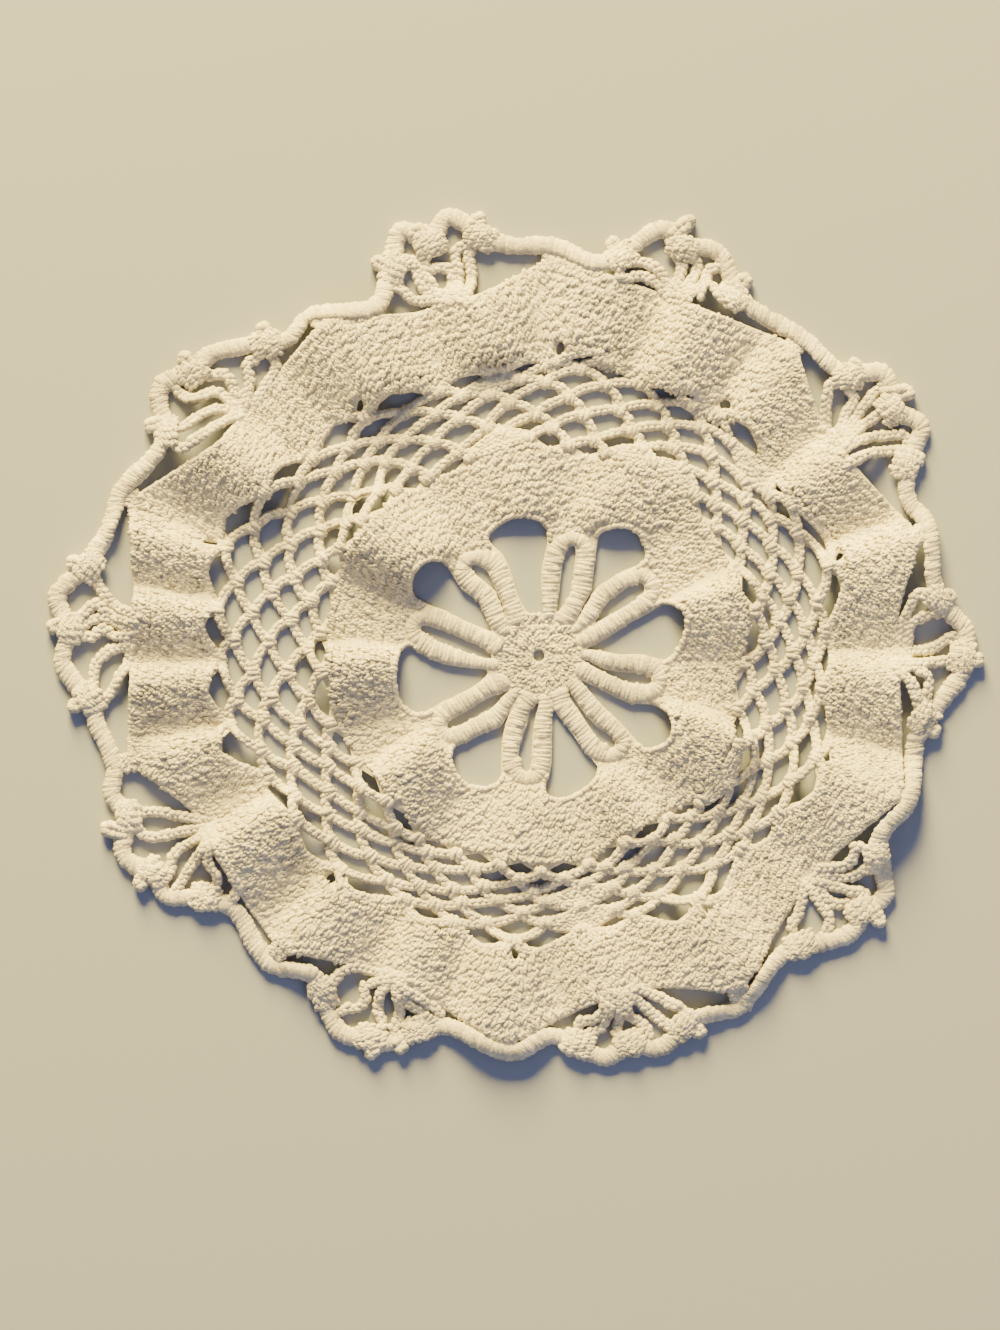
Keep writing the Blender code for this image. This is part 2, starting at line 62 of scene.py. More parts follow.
# Places where the cloth has puckered up off the surface: middle and half size, height, and
# where the crest lies between the two sides, from -1 to 1
Pillow = namedtuple("Pillow", "deg half_deg r half_r height crest")
PILLOWS = (
    # in the inner band
    Pillow(11, 13, 61, 18, 4.6, 0.6), Pillow(60, 17, 62, 17, 3.6, 0.3),
    Pillow(96, 15, 60, 17, 2.8, 0.0), Pillow(142, 17, 62, 19, 6.8, 0.1),
    Pillow(189, 13, 61, 18, 5.4, -0.55), Pillow(226, 15, 60, 18, 4.8, -0.45),
    Pillow(268, 17, 60, 17, 3.0, -0.1), Pillow(298, 10, 59, 16, 3.0, 0.3),
    Pillow(328, 14, 62, 19, 5.6, 0.6),
    # in the outer band
    Pillow(11, 10, 116, 24, 5.6, 0.6), Pillow(30, 8, 112, 21, 4.4, 0.4),
    Pillow(47, 8, 118, 21, 3.2, 0.2), Pillow(63, 8, 116, 22, 5.0, 0.3),
    Pillow(81, 9, 118, 20, 3.0, 0.0), Pillow(99, 9, 111, 16, 4.8, 0.0),
    Pillow(121, 11, 116, 22, 6.6, -0.1), Pillow(149, 9, 122, 25, 6.6, -0.2),
    Pillow(165, 5, 128, 22, 3.6, -0.3), Pillow(175, 5, 122, 20, 4.0, -0.4),
    Pillow(186, 5, 122, 20, 4.0, -0.4), Pillow(198, 6, 118, 22, 3.6, -0.5),
    Pillow(215, 8, 112, 21, 6.0, -0.5), Pillow(233, 8, 114, 21, 4.4, -0.4),
    Pillow(249, 7, 110, 18, 3.4, -0.2), Pillow(264, 9, 114, 22, 4.4, 0.0),
    Pillow(281, 8, 108, 17, 3.0, 0.2), Pillow(299, 11, 112, 22, 4.2, 0.3),
    Pillow(333, 12, 114, 24, 6.0, 0.4), Pillow(353, 8, 112, 21, 4.2, 0.4),
)


def polar(deg, radius):
    """The point at an angle and a radius from the hub."""
    angle = math.radians(deg)
    return Vector((radius * math.cos(angle), radius * math.sin(angle)))


def degrees_of(point):
    """The angle at which a point lies, seen from the hub."""
    return math.degrees(math.atan2(point.y, point.x))


def lift(point):
    """Height of the cloth's underside over the surface at a point."""
    radius, deg = point.length, degrees_of(point)
    height = 0.0
    for pillow in PILLOWS:
        turn = ((deg - pillow.deg + 180.0) % 360.0 - 180.0) / pillow.half_deg
        way = abs(radius - pillow.r) / pillow.half_r
        if abs(turn) < 1.0 and way < 1.0:
            room = 1.0 - pillow.crest if turn > pillow.crest else 1.0 + pillow.crest
            fall = math.cos(abs(turn - pillow.crest) / room * math.pi / 2) ** PILLOW_ROUNDNESS
            height = max(height, pillow.height * PILLOW_FULLNESS * fall * (1.0 - way ** 4))
    return height


def on_cloth(point, rise):
    """A place of the doily in metres, a rise in mm above the cloth's underside."""
    return Vector((point.x + HUB.x, point.y + HUB.y, lift(point) + rise)) * MM


def out_of_cloth(point):
    """Direction straight out of the cloth's upper side, which leans where the cloth puckers."""
    step = 0.5
    right, up = Vector((step, 0.0)), Vector((0.0, step))
    return Vector((lift(point - right) - lift(point + right),
                   lift(point - up) - lift(point + up), 2 * step)).normalized()


def linear(hex_colour):
    """An sRGB hex colour as Blender's linear one."""
    parts = [int(hex_colour[place:place + 2], 16) / 255.0 for place in (1, 3, 5)]
    return [part / 12.92 if part <= 0.04045 else ((part + 0.055) / 1.055) ** 2.4
            for part in parts] + [1.0]


def add_node(tree, kind, feeds=None, **settings):
    """Adds a node with its settings, and feeds its inputs with values or with other sockets."""
    node = tree.nodes.new(kind)
    for name, value in settings.items():
        setattr(node, name, value)
    for socket, value in (feeds or {}).items():
        if isinstance(value, bpy.types.NodeSocket):
            tree.links.new(value, node.inputs[socket])
        else:
            node.inputs[socket].default_value = value
    return node


def spun_cotton(name, light, shade, ply_depth):
    """Unbleached cotton thread, plied and hand crocheted, washed soft.

    The eye gets a dull cream with warmer and greyer patches as wide as a finger, where washing
    has aged it, each stitch a little lighter or darker than the next, painted shade that darkens
    each stitch down between its strands and a painted highlight that lightens its top, the turns
    of the ply, and a faint halo of loose fibre as sheen.
    """
    grains = {  # size in mm and detail; the fibre is ten times too coarse, so that it shows
        "patches": (26.0, 2.0), "mottle": (1.5, 3.0), "lumps": (0.8, 2.0), "fibre": (0.3, 1.0)}
    patch_least, patch_most = -0.1, 0.15  # how far towards the shade a patch may be
    # The last share is how far the painted shade darkens each stitch towards its bottom
    mottle_share, stitch_share, painted_crevice_shade_share = 0.75, 0.2, 0.32
    shade_from = 0.3  # the mix at which the light colour begins to turn to the shade
    ply_turns_per_mm, ply_relief_mm = 1.3, 0.12
    lump_relief_mm, fibre_relief_mm, relief_strength = 0.4, 0.15, 0.6

    cotton = bpy.data.materials.new(name)
    cotton.use_nodes = True
    tree = cotton.node_tree
    shader = tree.nodes["Principled BSDF"]
    place = add_node(tree, "ShaderNodeTexCoord").outputs["Object"]
    tone = add_node(tree, "ShaderNodeAttribute", attribute_name="tone").outputs["Fac"]
    # Painted shade and highlight: each stitch darker down between its strands and lighter at its
    # top, as light falls on it
    painted_crevice_shade = add_node(tree, "ShaderNodeAttribute", attribute_name="painted_crevice_shade").outputs["Fac"]
    strand = add_node(tree, "ShaderNodeUVMap", uv_map="strand").outputs["UV"]
    grain = {what: add_node(tree, "ShaderNodeTexNoise", {
        "Vector": place, "Scale": 1.0 / (size_mm * MM), "Detail": detail}).outputs["Fac"]
        for what, (size_mm, detail) in grains.items()}
    mix = add_node(tree, "ShaderNodeMapRange", {
        "Value": grain["patches"], "From Min": 0.3, "From Max": 0.7,
        "To Min": patch_least, "To Max": patch_most}).outputs["Result"]
    for what, share in ((grain["mottle"], mottle_share), (tone, stitch_share),
                        (painted_crevice_shade, painted_crevice_shade_share)):
        mix = add_node(tree, "ShaderNodeMath", {0: what, 1: share, 2: mix},
                       operation="MULTIPLY_ADD").outputs["Value"]
    colour = add_node(tree, "ShaderNodeValToRGB", {"Fac": mix})
    for stop, position, tint in zip(colour.color_ramp.elements, (shade_from, 1.0), (light, shade)):
        stop.position = position
        stop.color = linear(tint)
    turns = add_node(tree, "ShaderNodeMapping", {
        "Vector": strand, "Scale": (ply_turns_per_mm, 2.0, 1.0)})
    ply = add_node(tree, "ShaderNodeTexWave", {
        "Vector": turns.outputs["Vector"], "Scale": 0.5, "Distortion": 0.6,
        "Detail": 1.0}, wave_type="BANDS", bands_direction="DIAGONAL")
    relief = add_node(tree, "ShaderNodeBump", {
        "Height": ply.outputs["Fac"], "Strength": ply_depth,
        "Distance": ply_relief_mm * MM}).outputs["Normal"]
    for what, relief_mm in (("lumps", lump_relief_mm), ("fibre", fibre_relief_mm)):
        relief = add_node(tree, "ShaderNodeBump", {
            "Height": grain[what], "Strength": relief_strength, "Distance": relief_mm * MM,
            "Normal": relief}).outputs["Normal"]
    tree.links.new(colour.outputs["Color"], shader.inputs["Base Color"])
    tree.links.new(relief, shader.inputs["Normal"])
    for socket, value in (("Roughness", 0.88), ("Specular IOR Level", 0.25),
                          ("Sheen Weight", 0.22), ("Sheen Roughness", 0.5),
                          ("Sheen Tint", linear("#FFEFD0"))):
        shader.inputs[socket].default_value = value
    return cotton


crochet_cotton = spun_cotton("spun_cotton_crocheted", "#FDF3D4", "#8C8A86", 0.5)

# A plump stretch of thread between the places where it dives under its neighbours: its middle,
# half its length, width and height, and the way that it points in plan and in height
Strand = namedtuple("Strand", "middle half turn_deg rise_deg sides rings")
STRAND_BLUNTNESS = 0.8  # 1.0 gives an egg's ends, and less gives blunter ones


def in_scene(name, data):
    """An object made of a mesh, a lamp or a camera, put into the scene."""
    thing = bpy.data.objects.new(name, data)
    bpy.context.scene.collection.objects.link(thing)
    return thing


def stitch_shape(name, strands):
    """One stitch as a small mesh, its row running along x, the cloth's upper side up."""
    corners, faces, along_and_round = [], [], []
    for strand in strands:
        first = len(corners)
        turn, rise = math.radians(strand.turn_deg), math.radians(strand.rise_deg)
        ahead = Vector((math.cos(turn) * math.cos(rise), math.sin(turn) * math.cos(rise),
                        math.sin(rise)))
        side = Vector((-math.sin(turn), math.cos(turn), 0.0))
        over = ahead.cross(side)
        middle = Vector(strand.middle)
        half_long, half_wide, half_high = strand.half

        def corner(ring, spoke):
            slope = math.pi * ring / (strand.rings + 1)
            angle = 2 * math.pi * spoke / strand.sides
            fullness = math.sin(slope) ** STRAND_BLUNTNESS
            return (middle - ahead * half_long * math.cos(slope)
                    + side * half_wide * fullness * math.cos(angle)
                    + over * half_high * fullness * math.sin(angle)) * MM

        corners.append((middle - ahead * half_long) * MM)
        for ring in range(1, strand.rings + 1):
            corners += [corner(ring, spoke) for spoke in range(strand.sides)]
        corners.append((middle + ahead * half_long) * MM)
        last = len(corners) - 1

        def at(ring, spoke):
            return first + 1 + (ring - 1) * strand.sides + spoke % strand.sides

        def unrolled(ring, spoke):
            slope = math.pi * ring / (strand.rings + 1)
            return (half_long * (1.0 - math.cos(slope)), spoke / strand.sides)

        for spoke in range(strand.sides):
            faces.append((first, at(1, spoke + 1), at(1, spoke)))
            along_and_round += [unrolled(0, spoke + 0.5), unrolled(1, spoke + 1),
                                unrolled(1, spoke)]
            for ring in range(1, strand.rings):
                around = ((ring, spoke), (ring, spoke + 1), (ring + 1, spoke + 1),
                          (ring + 1, spoke))
                faces.append([at(*place) for place in around])
                along_and_round += [unrolled(*place) for place in around]
            faces.append((at(strand.rings, spoke), at(strand.rings, spoke + 1), last))
            along_and_round += [unrolled(strand.rings, spoke),
                                unrolled(strand.rings, spoke + 1),
                                unrolled(strand.rings + 1, spoke + 0.5)]
    mesh = bpy.data.meshes.new(name)
    mesh.from_pydata(corners, [], faces)
    mesh.shade_smooth()
    mesh.materials.append(crochet_cotton)
    unroll = mesh.uv_layers.new(name="strand")
    for loop, place in enumerate(along_and_round):
        unroll.uv[loop].vector = place
    # Painted shade: a share from 0 at the stitch's top to 1 at its bottom, which the cotton paints
    # darker, and its top lighter
    heights = [place.z for place in corners]
    low, top = min(heights), max(heights)
    painted_crevice_shade = mesh.attributes.new("painted_crevice_shade", "FLOAT", "POINT")
    for index, height in enumerate(heights):
        painted_crevice_shade.data[index].value = 1.0 - (height - low) / (top - low)
    return in_scene(name, mesh)


def rows_tree():
    """Geometry Nodes that work a stitch again and again along every row of a piece."""
    tree = bpy.data.node_groups.new("Stitches along rows", "GeometryNodeTree")
    for name, kind in (("Rows", "Geometry"), ("Stitch", "Object"), ("Pitch", "Float"),
                       ("Slant", "Float"), ("Turn wander", "Float"), ("Size wander", "Float"),
                       ("Place wander", "Float"), ("Seed", "Int"), ("Cotton", "Material")):
        tree.interface.new_socket(name, in_out="INPUT", socket_type="NodeSocket" + kind)
    tree.interface.new_socket("Crochet", in_out="OUTPUT", socket_type="NodeSocketGeometry")
    given = add_node(tree, "NodeGroupInput").outputs
    paths = add_node(tree, "GeometryNodeMeshToCurve", {"Mesh": given["Rows"]})
    spaced = add_node(tree, "GeometryNodeResampleCurve", {
        "Curve": paths.outputs["Curve"], "Length": given["Pitch"]}, mode="LENGTH")
    tangent = add_node(tree, "GeometryNodeInputTangent")
    outwards, girth = (add_node(tree, "GeometryNodeInputNamedAttribute", {"Name": name},
                                data_type="FLOAT_VECTOR") for name in ("outwards", "girth"))
    laid = add_node(tree, "FunctionNodeAxesToRotation", {
        "Primary Axis": tangent.outputs["Tangent"],
        "Secondary Axis": outwards.outputs["Attribute"]}, primary_axis="X", secondary_axis="Z")

    # How a stitch is turned, sized and put askew: each draw has a seed of its own and gives up
    # to this share of the wander either way, about or along the row, across it and upwards
    drawn = {}
    for wander, seeds_on, share in (("Turn wander", 0.0, (0.3, 0.3, 1.0)),
                                    ("Size wander", 1.0, (1.0, 1.0, 1.0)),
                                    ("Place wander", 3.0, (1.0, 1.0, 0.3))):
        seed = add_node(tree, "ShaderNodeMath", {0: given["Seed"], 1: seeds_on},
                        operation="ADD")
        draw = add_node(tree, "FunctionNodeRandomValue", {
            0: [-value for value in share], 1: share, "Seed": seed.outputs["Value"]},
            data_type="FLOAT_VECTOR")
        drawn[wander] = add_node(tree, "ShaderNodeVectorMath", {
            0: draw.outputs[0], "Scale": given[wander]}, operation="SCALE").outputs["Vector"]
    tone_seed = add_node(tree, "ShaderNodeMath", {0: given["Seed"], 1: 2.0}, operation="ADD")
    tone_draw = add_node(tree, "FunctionNodeRandomValue", {
        2: 0.0, 3: 1.0, "Seed": tone_seed.outputs["Value"]}, data_type="FLOAT")

    slant = add_node(tree, "ShaderNodeCombineXYZ", {"Z": given["Slant"]})
    turned = add_node(tree, "ShaderNodeVectorMath", {
        0: drawn["Turn wander"], 1: slant.outputs["Vector"]}, operation="ADD")
    by_hand = add_node(tree, "FunctionNodeEulerToRotation", {"Euler": turned.outputs["Vector"]})
    rotation = add_node(tree, "FunctionNodeRotateRotation", {
        "Rotation": laid.outputs["Rotation"], "Rotate By": by_hand.outputs["Rotation"]},
        rotation_space="LOCAL")
    swelled = add_node(tree, "ShaderNodeVectorMath", {
        0: drawn["Size wander"], 1: (1.0, 1.0, 1.0)}, operation="ADD")
    size = add_node(tree, "ShaderNodeVectorMath", {
        0: girth.outputs["Attribute"], 1: swelled.outputs["Vector"]}, operation="MULTIPLY")
    pattern = add_node(tree, "GeometryNodeObjectInfo", {"Object": given["Stitch"]})
    worked = add_node(tree, "GeometryNodeInstanceOnPoints", {
        "Points": spaced.outputs["Curve"], "Instance": pattern.outputs["Geometry"],
        "Rotation": rotation.outputs["Rotation"], "Scale": size.outputs["Vector"]})
    moved = add_node(tree, "GeometryNodeTranslateInstances", {
        "Instances": worked.outputs["Instances"], "Translation": drawn["Place wander"]})
    toned = add_node(tree, "GeometryNodeStoreNamedAttribute", {
        "Geometry": moved.outputs["Instances"], "Name": "tone",
        "Value": tone_draw.outputs[1]}, data_type="FLOAT", domain="INSTANCE")
    joined = add_node(tree, "GeometryNodeRealizeInstances", {
        "Geometry": toned.outputs["Geometry"]})

    # No stitch goes down into the table
    place = add_node(tree, "ShaderNodeSeparateXYZ", {
        "Vector": add_node(tree, "GeometryNodeInputPosition").outputs["Position"]})
    height = add_node(tree, "ShaderNodeMath", {0: place.outputs["Z"], 1: 0.0},
                      operation="MAXIMUM")
    laid_down = add_node(tree, "ShaderNodeCombineXYZ", {
        "X": place.outputs["X"], "Y": place.outputs["Y"], "Z": height.outputs["Value"]})
    on_table = add_node(tree, "GeometryNodeSetPosition", {
        "Geometry": joined.outputs["Geometry"], "Position": laid_down.outputs["Vector"]})
    finished = add_node(tree, "GeometryNodeSetMaterial", {
        "Geometry": on_table.outputs["Geometry"], "Material": given["Cotton"]})
    add_node(tree, "NodeGroupOutput", {"Crochet": finished.outputs["Geometry"]})
    return tree


work_rows = rows_tree()

# A row is a line of steps in plan; each step has its rise in mm and how much wider and higher
# than its pattern the stitch is there
Step = namedtuple("Step", "point rise wide high", defaults=(1.0, 1.0))


def crochet(name, rows, stitch, pitch, closed=False, slant_deg=0.0, turn_deg=7.0, swell=0.1,
            astray=0.0, seed=1):
    """A piece of crochet as one mesh, a stitch worked along its rows at a pitch in mm.

    Turns in degrees, sizes as a share and places in mm wander at random by no more than
    turn_deg, swell and astray.
    """
    places, joins = [], []
    for row in rows:
        first = len(places)
        places += [on_cloth(step.point, step.rise) for step in row]
        joins += [(first + index, first + index + 1) for index in range(len(row) - 1)]
        if closed:
            joins.append((len(places) - 1, first))
    steps = [step for row in rows for step in row]
    lines = bpy.data.meshes.new(name + "_rows")
    lines.from_pydata(places, joins, [])
    outwards = lines.attributes.new("outwards", "FLOAT_VECTOR", "POINT")
    girth = lines.attributes.new("girth", "FLOAT_VECTOR", "POINT")
    for index, step in enumerate(steps):
        outwards.data[index].vector = out_of_cloth(step.point)
        girth.data[index].vector = (1.0, step.wide, step.high)
    drawn = in_scene(name + "_rows", lines)
    maker = drawn.modifiers.new("Crochet", "NODES")
    maker.node_group = work_rows
    wanted = {"Stitch": stitch, "Pitch": pitch * MM, "Slant": math.radians(slant_deg),
              "Turn wander": math.radians(turn_deg), "Size wander": swell,
              "Place wander": astray * MM, "Seed": seed, "Cotton": crochet_cotton}
    for socket in work_rows.interface.items_tree:
        if socket.name in wanted:
            maker[socket.identifier] = wanted[socket.name]
    graph = bpy.context.evaluated_depsgraph_get()
    mesh = bpy.data.meshes.new_from_object(drawn.evaluated_get(graph),
                                           preserve_all_data_layers=True, depsgraph=graph)
    for spent in ("outwards", "girth"):
        if spent in mesh.attributes:
            mesh.attributes.remove(mesh.attributes[spent])
    drawn.modifiers.remove(maker)
    bpy.data.objects.remove(drawn, do_unlink=True)
    bpy.data.meshes.remove(lines)
    mesh.name = name
    return belongs(in_scene(name, mesh))


def belongs(piece):
    """Says that a piece is part of the doily and hides the doily's CAD part, which the piece
    replaces in its own cotton.
    """
    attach(piece, "root")
    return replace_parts(piece, "doily")


def ring_row(radius_at, rise, step_deg=2.0, wide_at=lambda deg: 1.0, drift=0.0):
    """A row all the way round the hub, at a radius that may change with the angle and drift."""
    row = []
    for index in range(round(360.0 / step_deg)):
        deg = index * step_deg
        radius = radius_at(deg)
        place = polar(deg, radius / DRIFT_LENGTH)
        radius += drift * noise.noise(Vector((place.x, place.y, DRIFT_LENGTH)))
        row.append(Step(polar(deg, radius), rise, wide_at(deg)))
    return row


single_crochet = stitch_shape("single_crochet", [
    Strand((0.38, 0.0, 0.5), (1.65, 0.78, 0.54), 64.0, 7.0, 6, 2),
    Strand((-0.38, 0.0, 0.42), (1.55, 0.74, 0.54), 112.0, -7.0, 6, 2),
])
thread_ring = stitch_shape("thread_ring", [
    Strand((0.0, 0.0, 0.0), (1.4, 0.9, 0.9), 8.0, 0.0, 8, 3),
])
hub_ring = crochet("hub_ring", [ring_row(lambda deg: HUB_RING, BAND_THICK / 2, step_deg=15.0)],
                   thread_ring, HUB_PITCH, closed=True, turn_deg=8.0, swell=0.1, seed=5)

disc = crochet("disc_rounds", [
    ring_row(lambda deg, round_no=round_no: DISC_FIRST_ROUND + DISC_ROUND * round_no,
             BAND_THICK / 2, step_deg=6.0)
    for round_no in range(DISC_ROUNDS)
], single_crochet, STITCH_PITCH, closed=True, astray=0.45, seed=11, **BY_HAND)

# --------------------------------------------------------------------------------------------
# The petals. Each is a loop of chain covered closely with single crochet, so it is a round bar
# with fine ribs that goes out from the disc, turns round its slot and comes back.

PETAL_THICK = 2.7
RIB_PITCH = 1.35
BAR_HALF = 2.9  # half width that the rib is drawn with
BAR_PROUD = 0.02  # how far the ribs stand out over the gap on either side
WIDEST_BAR_HALF = 3.7
BAR_START = 14.6  # mm from the hub where the bars leave the disc
BAR_TURN_HALF = 2.7
SLOT_END = 1.0  # mm in from a slot's far end, where a bar starts to turn round it

# The open spaces between the petals in mm from the hub, each from its tip at the disc out along
# its side at the greater angles, round its end and back along the other side
PETAL_GAPS = (
    ((15.8, 2.3), (16.9, 3.0), (20.3, 4.5), (25.2, 7.5), (30.8, 11.3), (36.7, 14.3), (41.6, 17.3),
     (45.8, 16.3), (48.3, 13.1), (48.4, 8.5), (46.3, 3.1), (41.9, -1.3), (34.3, 0.6), (27.5, 0.5),
     (21.3, 1.6), (17.2, 2.2)),
    ((11.8, 10.6), (14.3, 15.9), (17.3, 21.3), (17.5, 22.4), (17.8, 25.6), (18.5, 30.3),
     (19.2, 36.0), (20.5, 41.0), (25.1, 42.3), (28.8, 42.6), (32.6, 40.5), (34.0, 38.1),
     (35.5, 33.2), (32.7, 30.3), (27.9, 28.3), (23.7, 25.8), (20.2, 23.5), (18.4, 21.6),
     (14.8, 15.6)),
    ((1.4, 11.7), (-1.9, 12.4), (-4.7, 15.8), (-7.3, 21.1), (-9.2, 27.7), (-12.2, 34.0),
     (-17.1, 38.9), (-12.8, 43.6), (-7.4, 46.0), (-2.3, 45.6), (2.4, 42.6), (2.6, 36.8),
     (0.9, 29.6), (0.7, 22.7), (1.3, 17.0), (1.2, 13.0)),
    ((-15.8, 8.3), (-17.1, 8.6), (-20.4, 10.0), (-25.3, 12.0), (-30.7, 15.0), (-36.8, 17.1),
     (-41.3, 19.7), (-42.2, 24.2), (-40.8, 27.9), (-36.8, 31.2), (-32.4, 31.3), (-29.0, 27.2),
     (-25.5, 21.8), (-20.5, 18.3), (-17.9, 13.2), (-16.3, 9.6)),
    ((-17.1, -5.6), (-18.3, -7.3), (-21.7, -10.0), (-26.8, -12.8), (-32.7, -15.5), (-38.6, -18.9),
     (-43.5, -17.5), (-46.6, -13.6), (-47.4, -5.3), (-46.0, 1.6), (-42.6, 3.2), (-37.8, -0.1),
     (-32.1, -2.6), (-26.4, -3.7), (-21.5, -4.2), (-18.2, -4.5)),
    ((-8.8, -16.5), (-11.2, -22.6), (-11.3, -23.7), (-12.0, -26.3), (-12.5, -30.6), (-12.7, -36.1),
     (-13.2, -41.4), (-17.0, -43.3), (-21.5, -43.2), (-24.0, -42.5), (-26.9, -39.3), (-29.0, -34.6),
     (-28.2, -30.5), (-23.3, -28.4), (-19.0, -26.0), (-14.6, -24.4), (-12.2, -23.0)),
    ((4.8, -18.2), (5.9, -19.2), (8.1, -22.1), (11.5, -26.4), (14.8, -31.7), (19.5, -36.7),
     (17.5, -41.8), (12.4, -45.6), (7.8, -47.3), (3.8, -46.7), (1.9, -43.7), (3.8, -38.7),
     (4.3, -33.0), (4.3, -27.4), (4.4, -22.6), (4.2, -19.4)),
    ((13.9, -8.0), (15.1, -8.6), (18.5, -10.2), (23.6, -12.8), (29.7, -15.7), (37.2, -16.2),
     (42.3, -18.8), (44.2, -22.9), (43.1, -27.2), (40.0, -29.6), (35.0, -30.5), (30.9, -26.3),
     (26.2, -21.3), (21.2, -16.6), (17.3, -12.2), (14.7, -9.3)),
)

# The slot along the middle of each petal, told in the same way
SLOTS = (
    ((18.7, 11.2), (19.7, 13.0), (22.6, 17.7), (27.7, 21.4), (31.6, 24.5), (34.8, 23.6),
     (34.6, 20.7), (30.5, 17.7), (25.0, 14.5), (20.5, 11.9)),
    ((6.0, 14.7), (6.0, 16.9), (6.9, 22.4), (7.6, 29.4), (9.1, 34.9), (11.5, 36.7), (12.3, 34.3),
     (11.6, 28.7), (10.9, 21.7), (7.9, 16.5)),
    ((-10.8, 10.4), (-12.1, 15.3), (-13.7, 19.5), (-14.2, 21.1), (-15.0, 22.0), (-17.3, 24.0),
     (-20.2, 26.4), (-22.3, 28.5), (-22.3, 30.1), (-19.7, 30.8), (-17.5, 28.7), (-15.8, 25.2),
     (-14.6, 22.3), (-13.2, 19.6), (-11.6, 15.2)),
    ((-15.8, -0.8), (-18.3, -0.6), (-24.5, 1.3), (-32.0, 4.2), (-37.8, 6.9), (-39.4, 9.7),
     (-36.6, 9.9), (-30.5, 7.8), (-23.2, 4.6), (-17.2, 2.2)),
    ((-9.9, -11.6), (-11.7, -13.1), (-16.0, -17.6), (-22.5, -21.1), (-28.0, -23.7), (-30.6, -23.8),
     (-29.4, -21.3), (-24.1, -18.5), (-17.8, -14.6), (-12.2, -12.2)),
    ((0.0, -15.4), (-0.4, -17.6), (-1.8, -23.3), (-2.4, -30.6), (-2.6, -36.5), (-4.2, -38.5),
     (-6.7, -35.8), (-6.4, -29.9), (-4.0, -23.0), (-2.7, -17.2)),
    ((9.7, -10.9), (11.0, -12.9), (14.4, -18.1), (19.4, -23.8), (24.8, -27.2), (24.9, -30.3),
     (21.8, -29.8), (17.8, -25.2), (13.6, -18.7), (10.1, -13.7)),
    ((14.5, -1.1), (16.7, -1.7), (22.2, -4.5), (29.7, -5.7), (35.8, -6.0), (37.6, -8.4),
     (34.9, -9.5), (28.9, -8.6), (22.0, -5.5), (16.5, -2.6)),
)
BAR_STEPS, TURN_STEPS = 12, 8


def curve(before, here, after, beyond, share):
    """A point part of the way along the smooth line from here to after."""
    return 0.5 * (2 * here + (after - before) * share
                  + (2 * before - 5 * here + 4 * after - beyond) * share ** 2
                  + (3 * here - before - 3 * after + beyond) * share ** 3)


def rounded(outline, steps=2):
    """A closed outline with smooth corners."""
    corners = [Vector(corner) for corner in outline]
    count = len(corners)
    return [curve(*(corners[(index + place) % count] for place in (-1, 0, 1, 2)), step / steps)
            for index in range(count) for step in range(steps)]


def side_deg(outline, radius, side):
    """Angle of an outline's side at a radius; side is 1 at the greater angles and else -1."""
    tip_deg = degrees_of(outline[0])
    crossings = []
    for a, b in zip(outline, outline[1:] + outline[:1]):
        if (a.length > radius) != (b.length > radius):
            place = a.lerp(b, (radius - a.length) / (b.length - a.length))
            crossings.append((degrees_of(place) - tip_deg + 180.0) % 360.0 - 180.0)
    return tip_deg + side * max((side * turn for turn in crossings), default=0.0)


def bar_steps(gap, slot, side):
    """One bar of a petal from the disc out to the slot's end; its slot lies on that side."""
    end_r = max(corner.length for corner in slot) - SLOT_END
    steps = []
    for index in range(BAR_STEPS):
        radius = BAR_START + (end_r - BAR_START) * index / (BAR_STEPS - 1)
        outer = polar(side_deg(gap, radius, side), radius)
        inner = polar(side_deg(slot, radius, -side), radius)
        half_bar = min((outer - inner).length / 2 + BAR_PROUD, WIDEST_BAR_HALF)
        place = inner + (outer - inner).normalized() * (half_bar - BAR_PROUD)
        steps.append(Step(place, PETAL_THICK / 2, half_bar / BAR_HALF,
                          min(1.0, 0.5 + half_bar / BAR_HALF / 2)))
    return steps


def petal_row(index):
    """The whole bar of a petal: out on one side of its slot, round the end and back."""
    slot = [Vector(corner) for corner in SLOTS[index]]
    before, after = (rounded(PETAL_GAPS[place % len(PETAL_GAPS)]) for place in (index, index + 1))
    out = bar_steps(before, slot, 1)
    back = bar_steps(after, slot, -1)[::-1]
    far = max(range(len(slot)), key=lambda corner: slot[corner].length)
    half_slot = (slot[far - 1] - slot[(far + 1) % len(slot)]).length / 2
    axis = (slot[far] - slot[0]).normalized()
    middle = slot[far] - axis * half_slot
    side = Vector((axis.y, -axis.x))
    reach = half_slot + BAR_TURN_HALF
    end = [Step(middle + side * reach * math.cos(angle) + axis * reach * math.sin(angle),
                PETAL_THICK / 2, BAR_TURN_HALF / BAR_HALF)
           for angle in (math.pi * turn / TURN_STEPS for turn in range(1, TURN_STEPS))]
    return out + end + back


rib = stitch_shape("rib", [
    Strand((0.0, 0.0, 0.0), (1.9, BAR_HALF, PETAL_THICK / 2), 0.0, 0.0, 12, 3),
])
petals = crochet("petal_bars", [petal_row(index) for index in range(len(SLOTS))], rib,
                 RIB_PITCH, slant_deg=6.0, turn_deg=8.0, swell=0.09, astray=0.2, seed=21)

# --------------------------------------------------------------------------------------------
# The inner band. Fourteen rounds of single crochet that join the petals and go out to the net;
# it is a little too wide for its place, so it puckers up in pillows.

INNER_ROUNDS = 14
INNER_START = 42.6
ROUND_DRAWN = 1.95  # distance between rounds for which the single crochet is drawn
ROUND_DRIFT = 1.3
EDGE_ROOM = 0.9  # from an edge of the cloth to the middle of the stitches along it
PETAL_ROOM = 2.3  # from a petal gap's edge to the rounds; the joining chain fills it
BAR_OVERLAP = 0.3  # how far the rounds run in beside the petals' bars

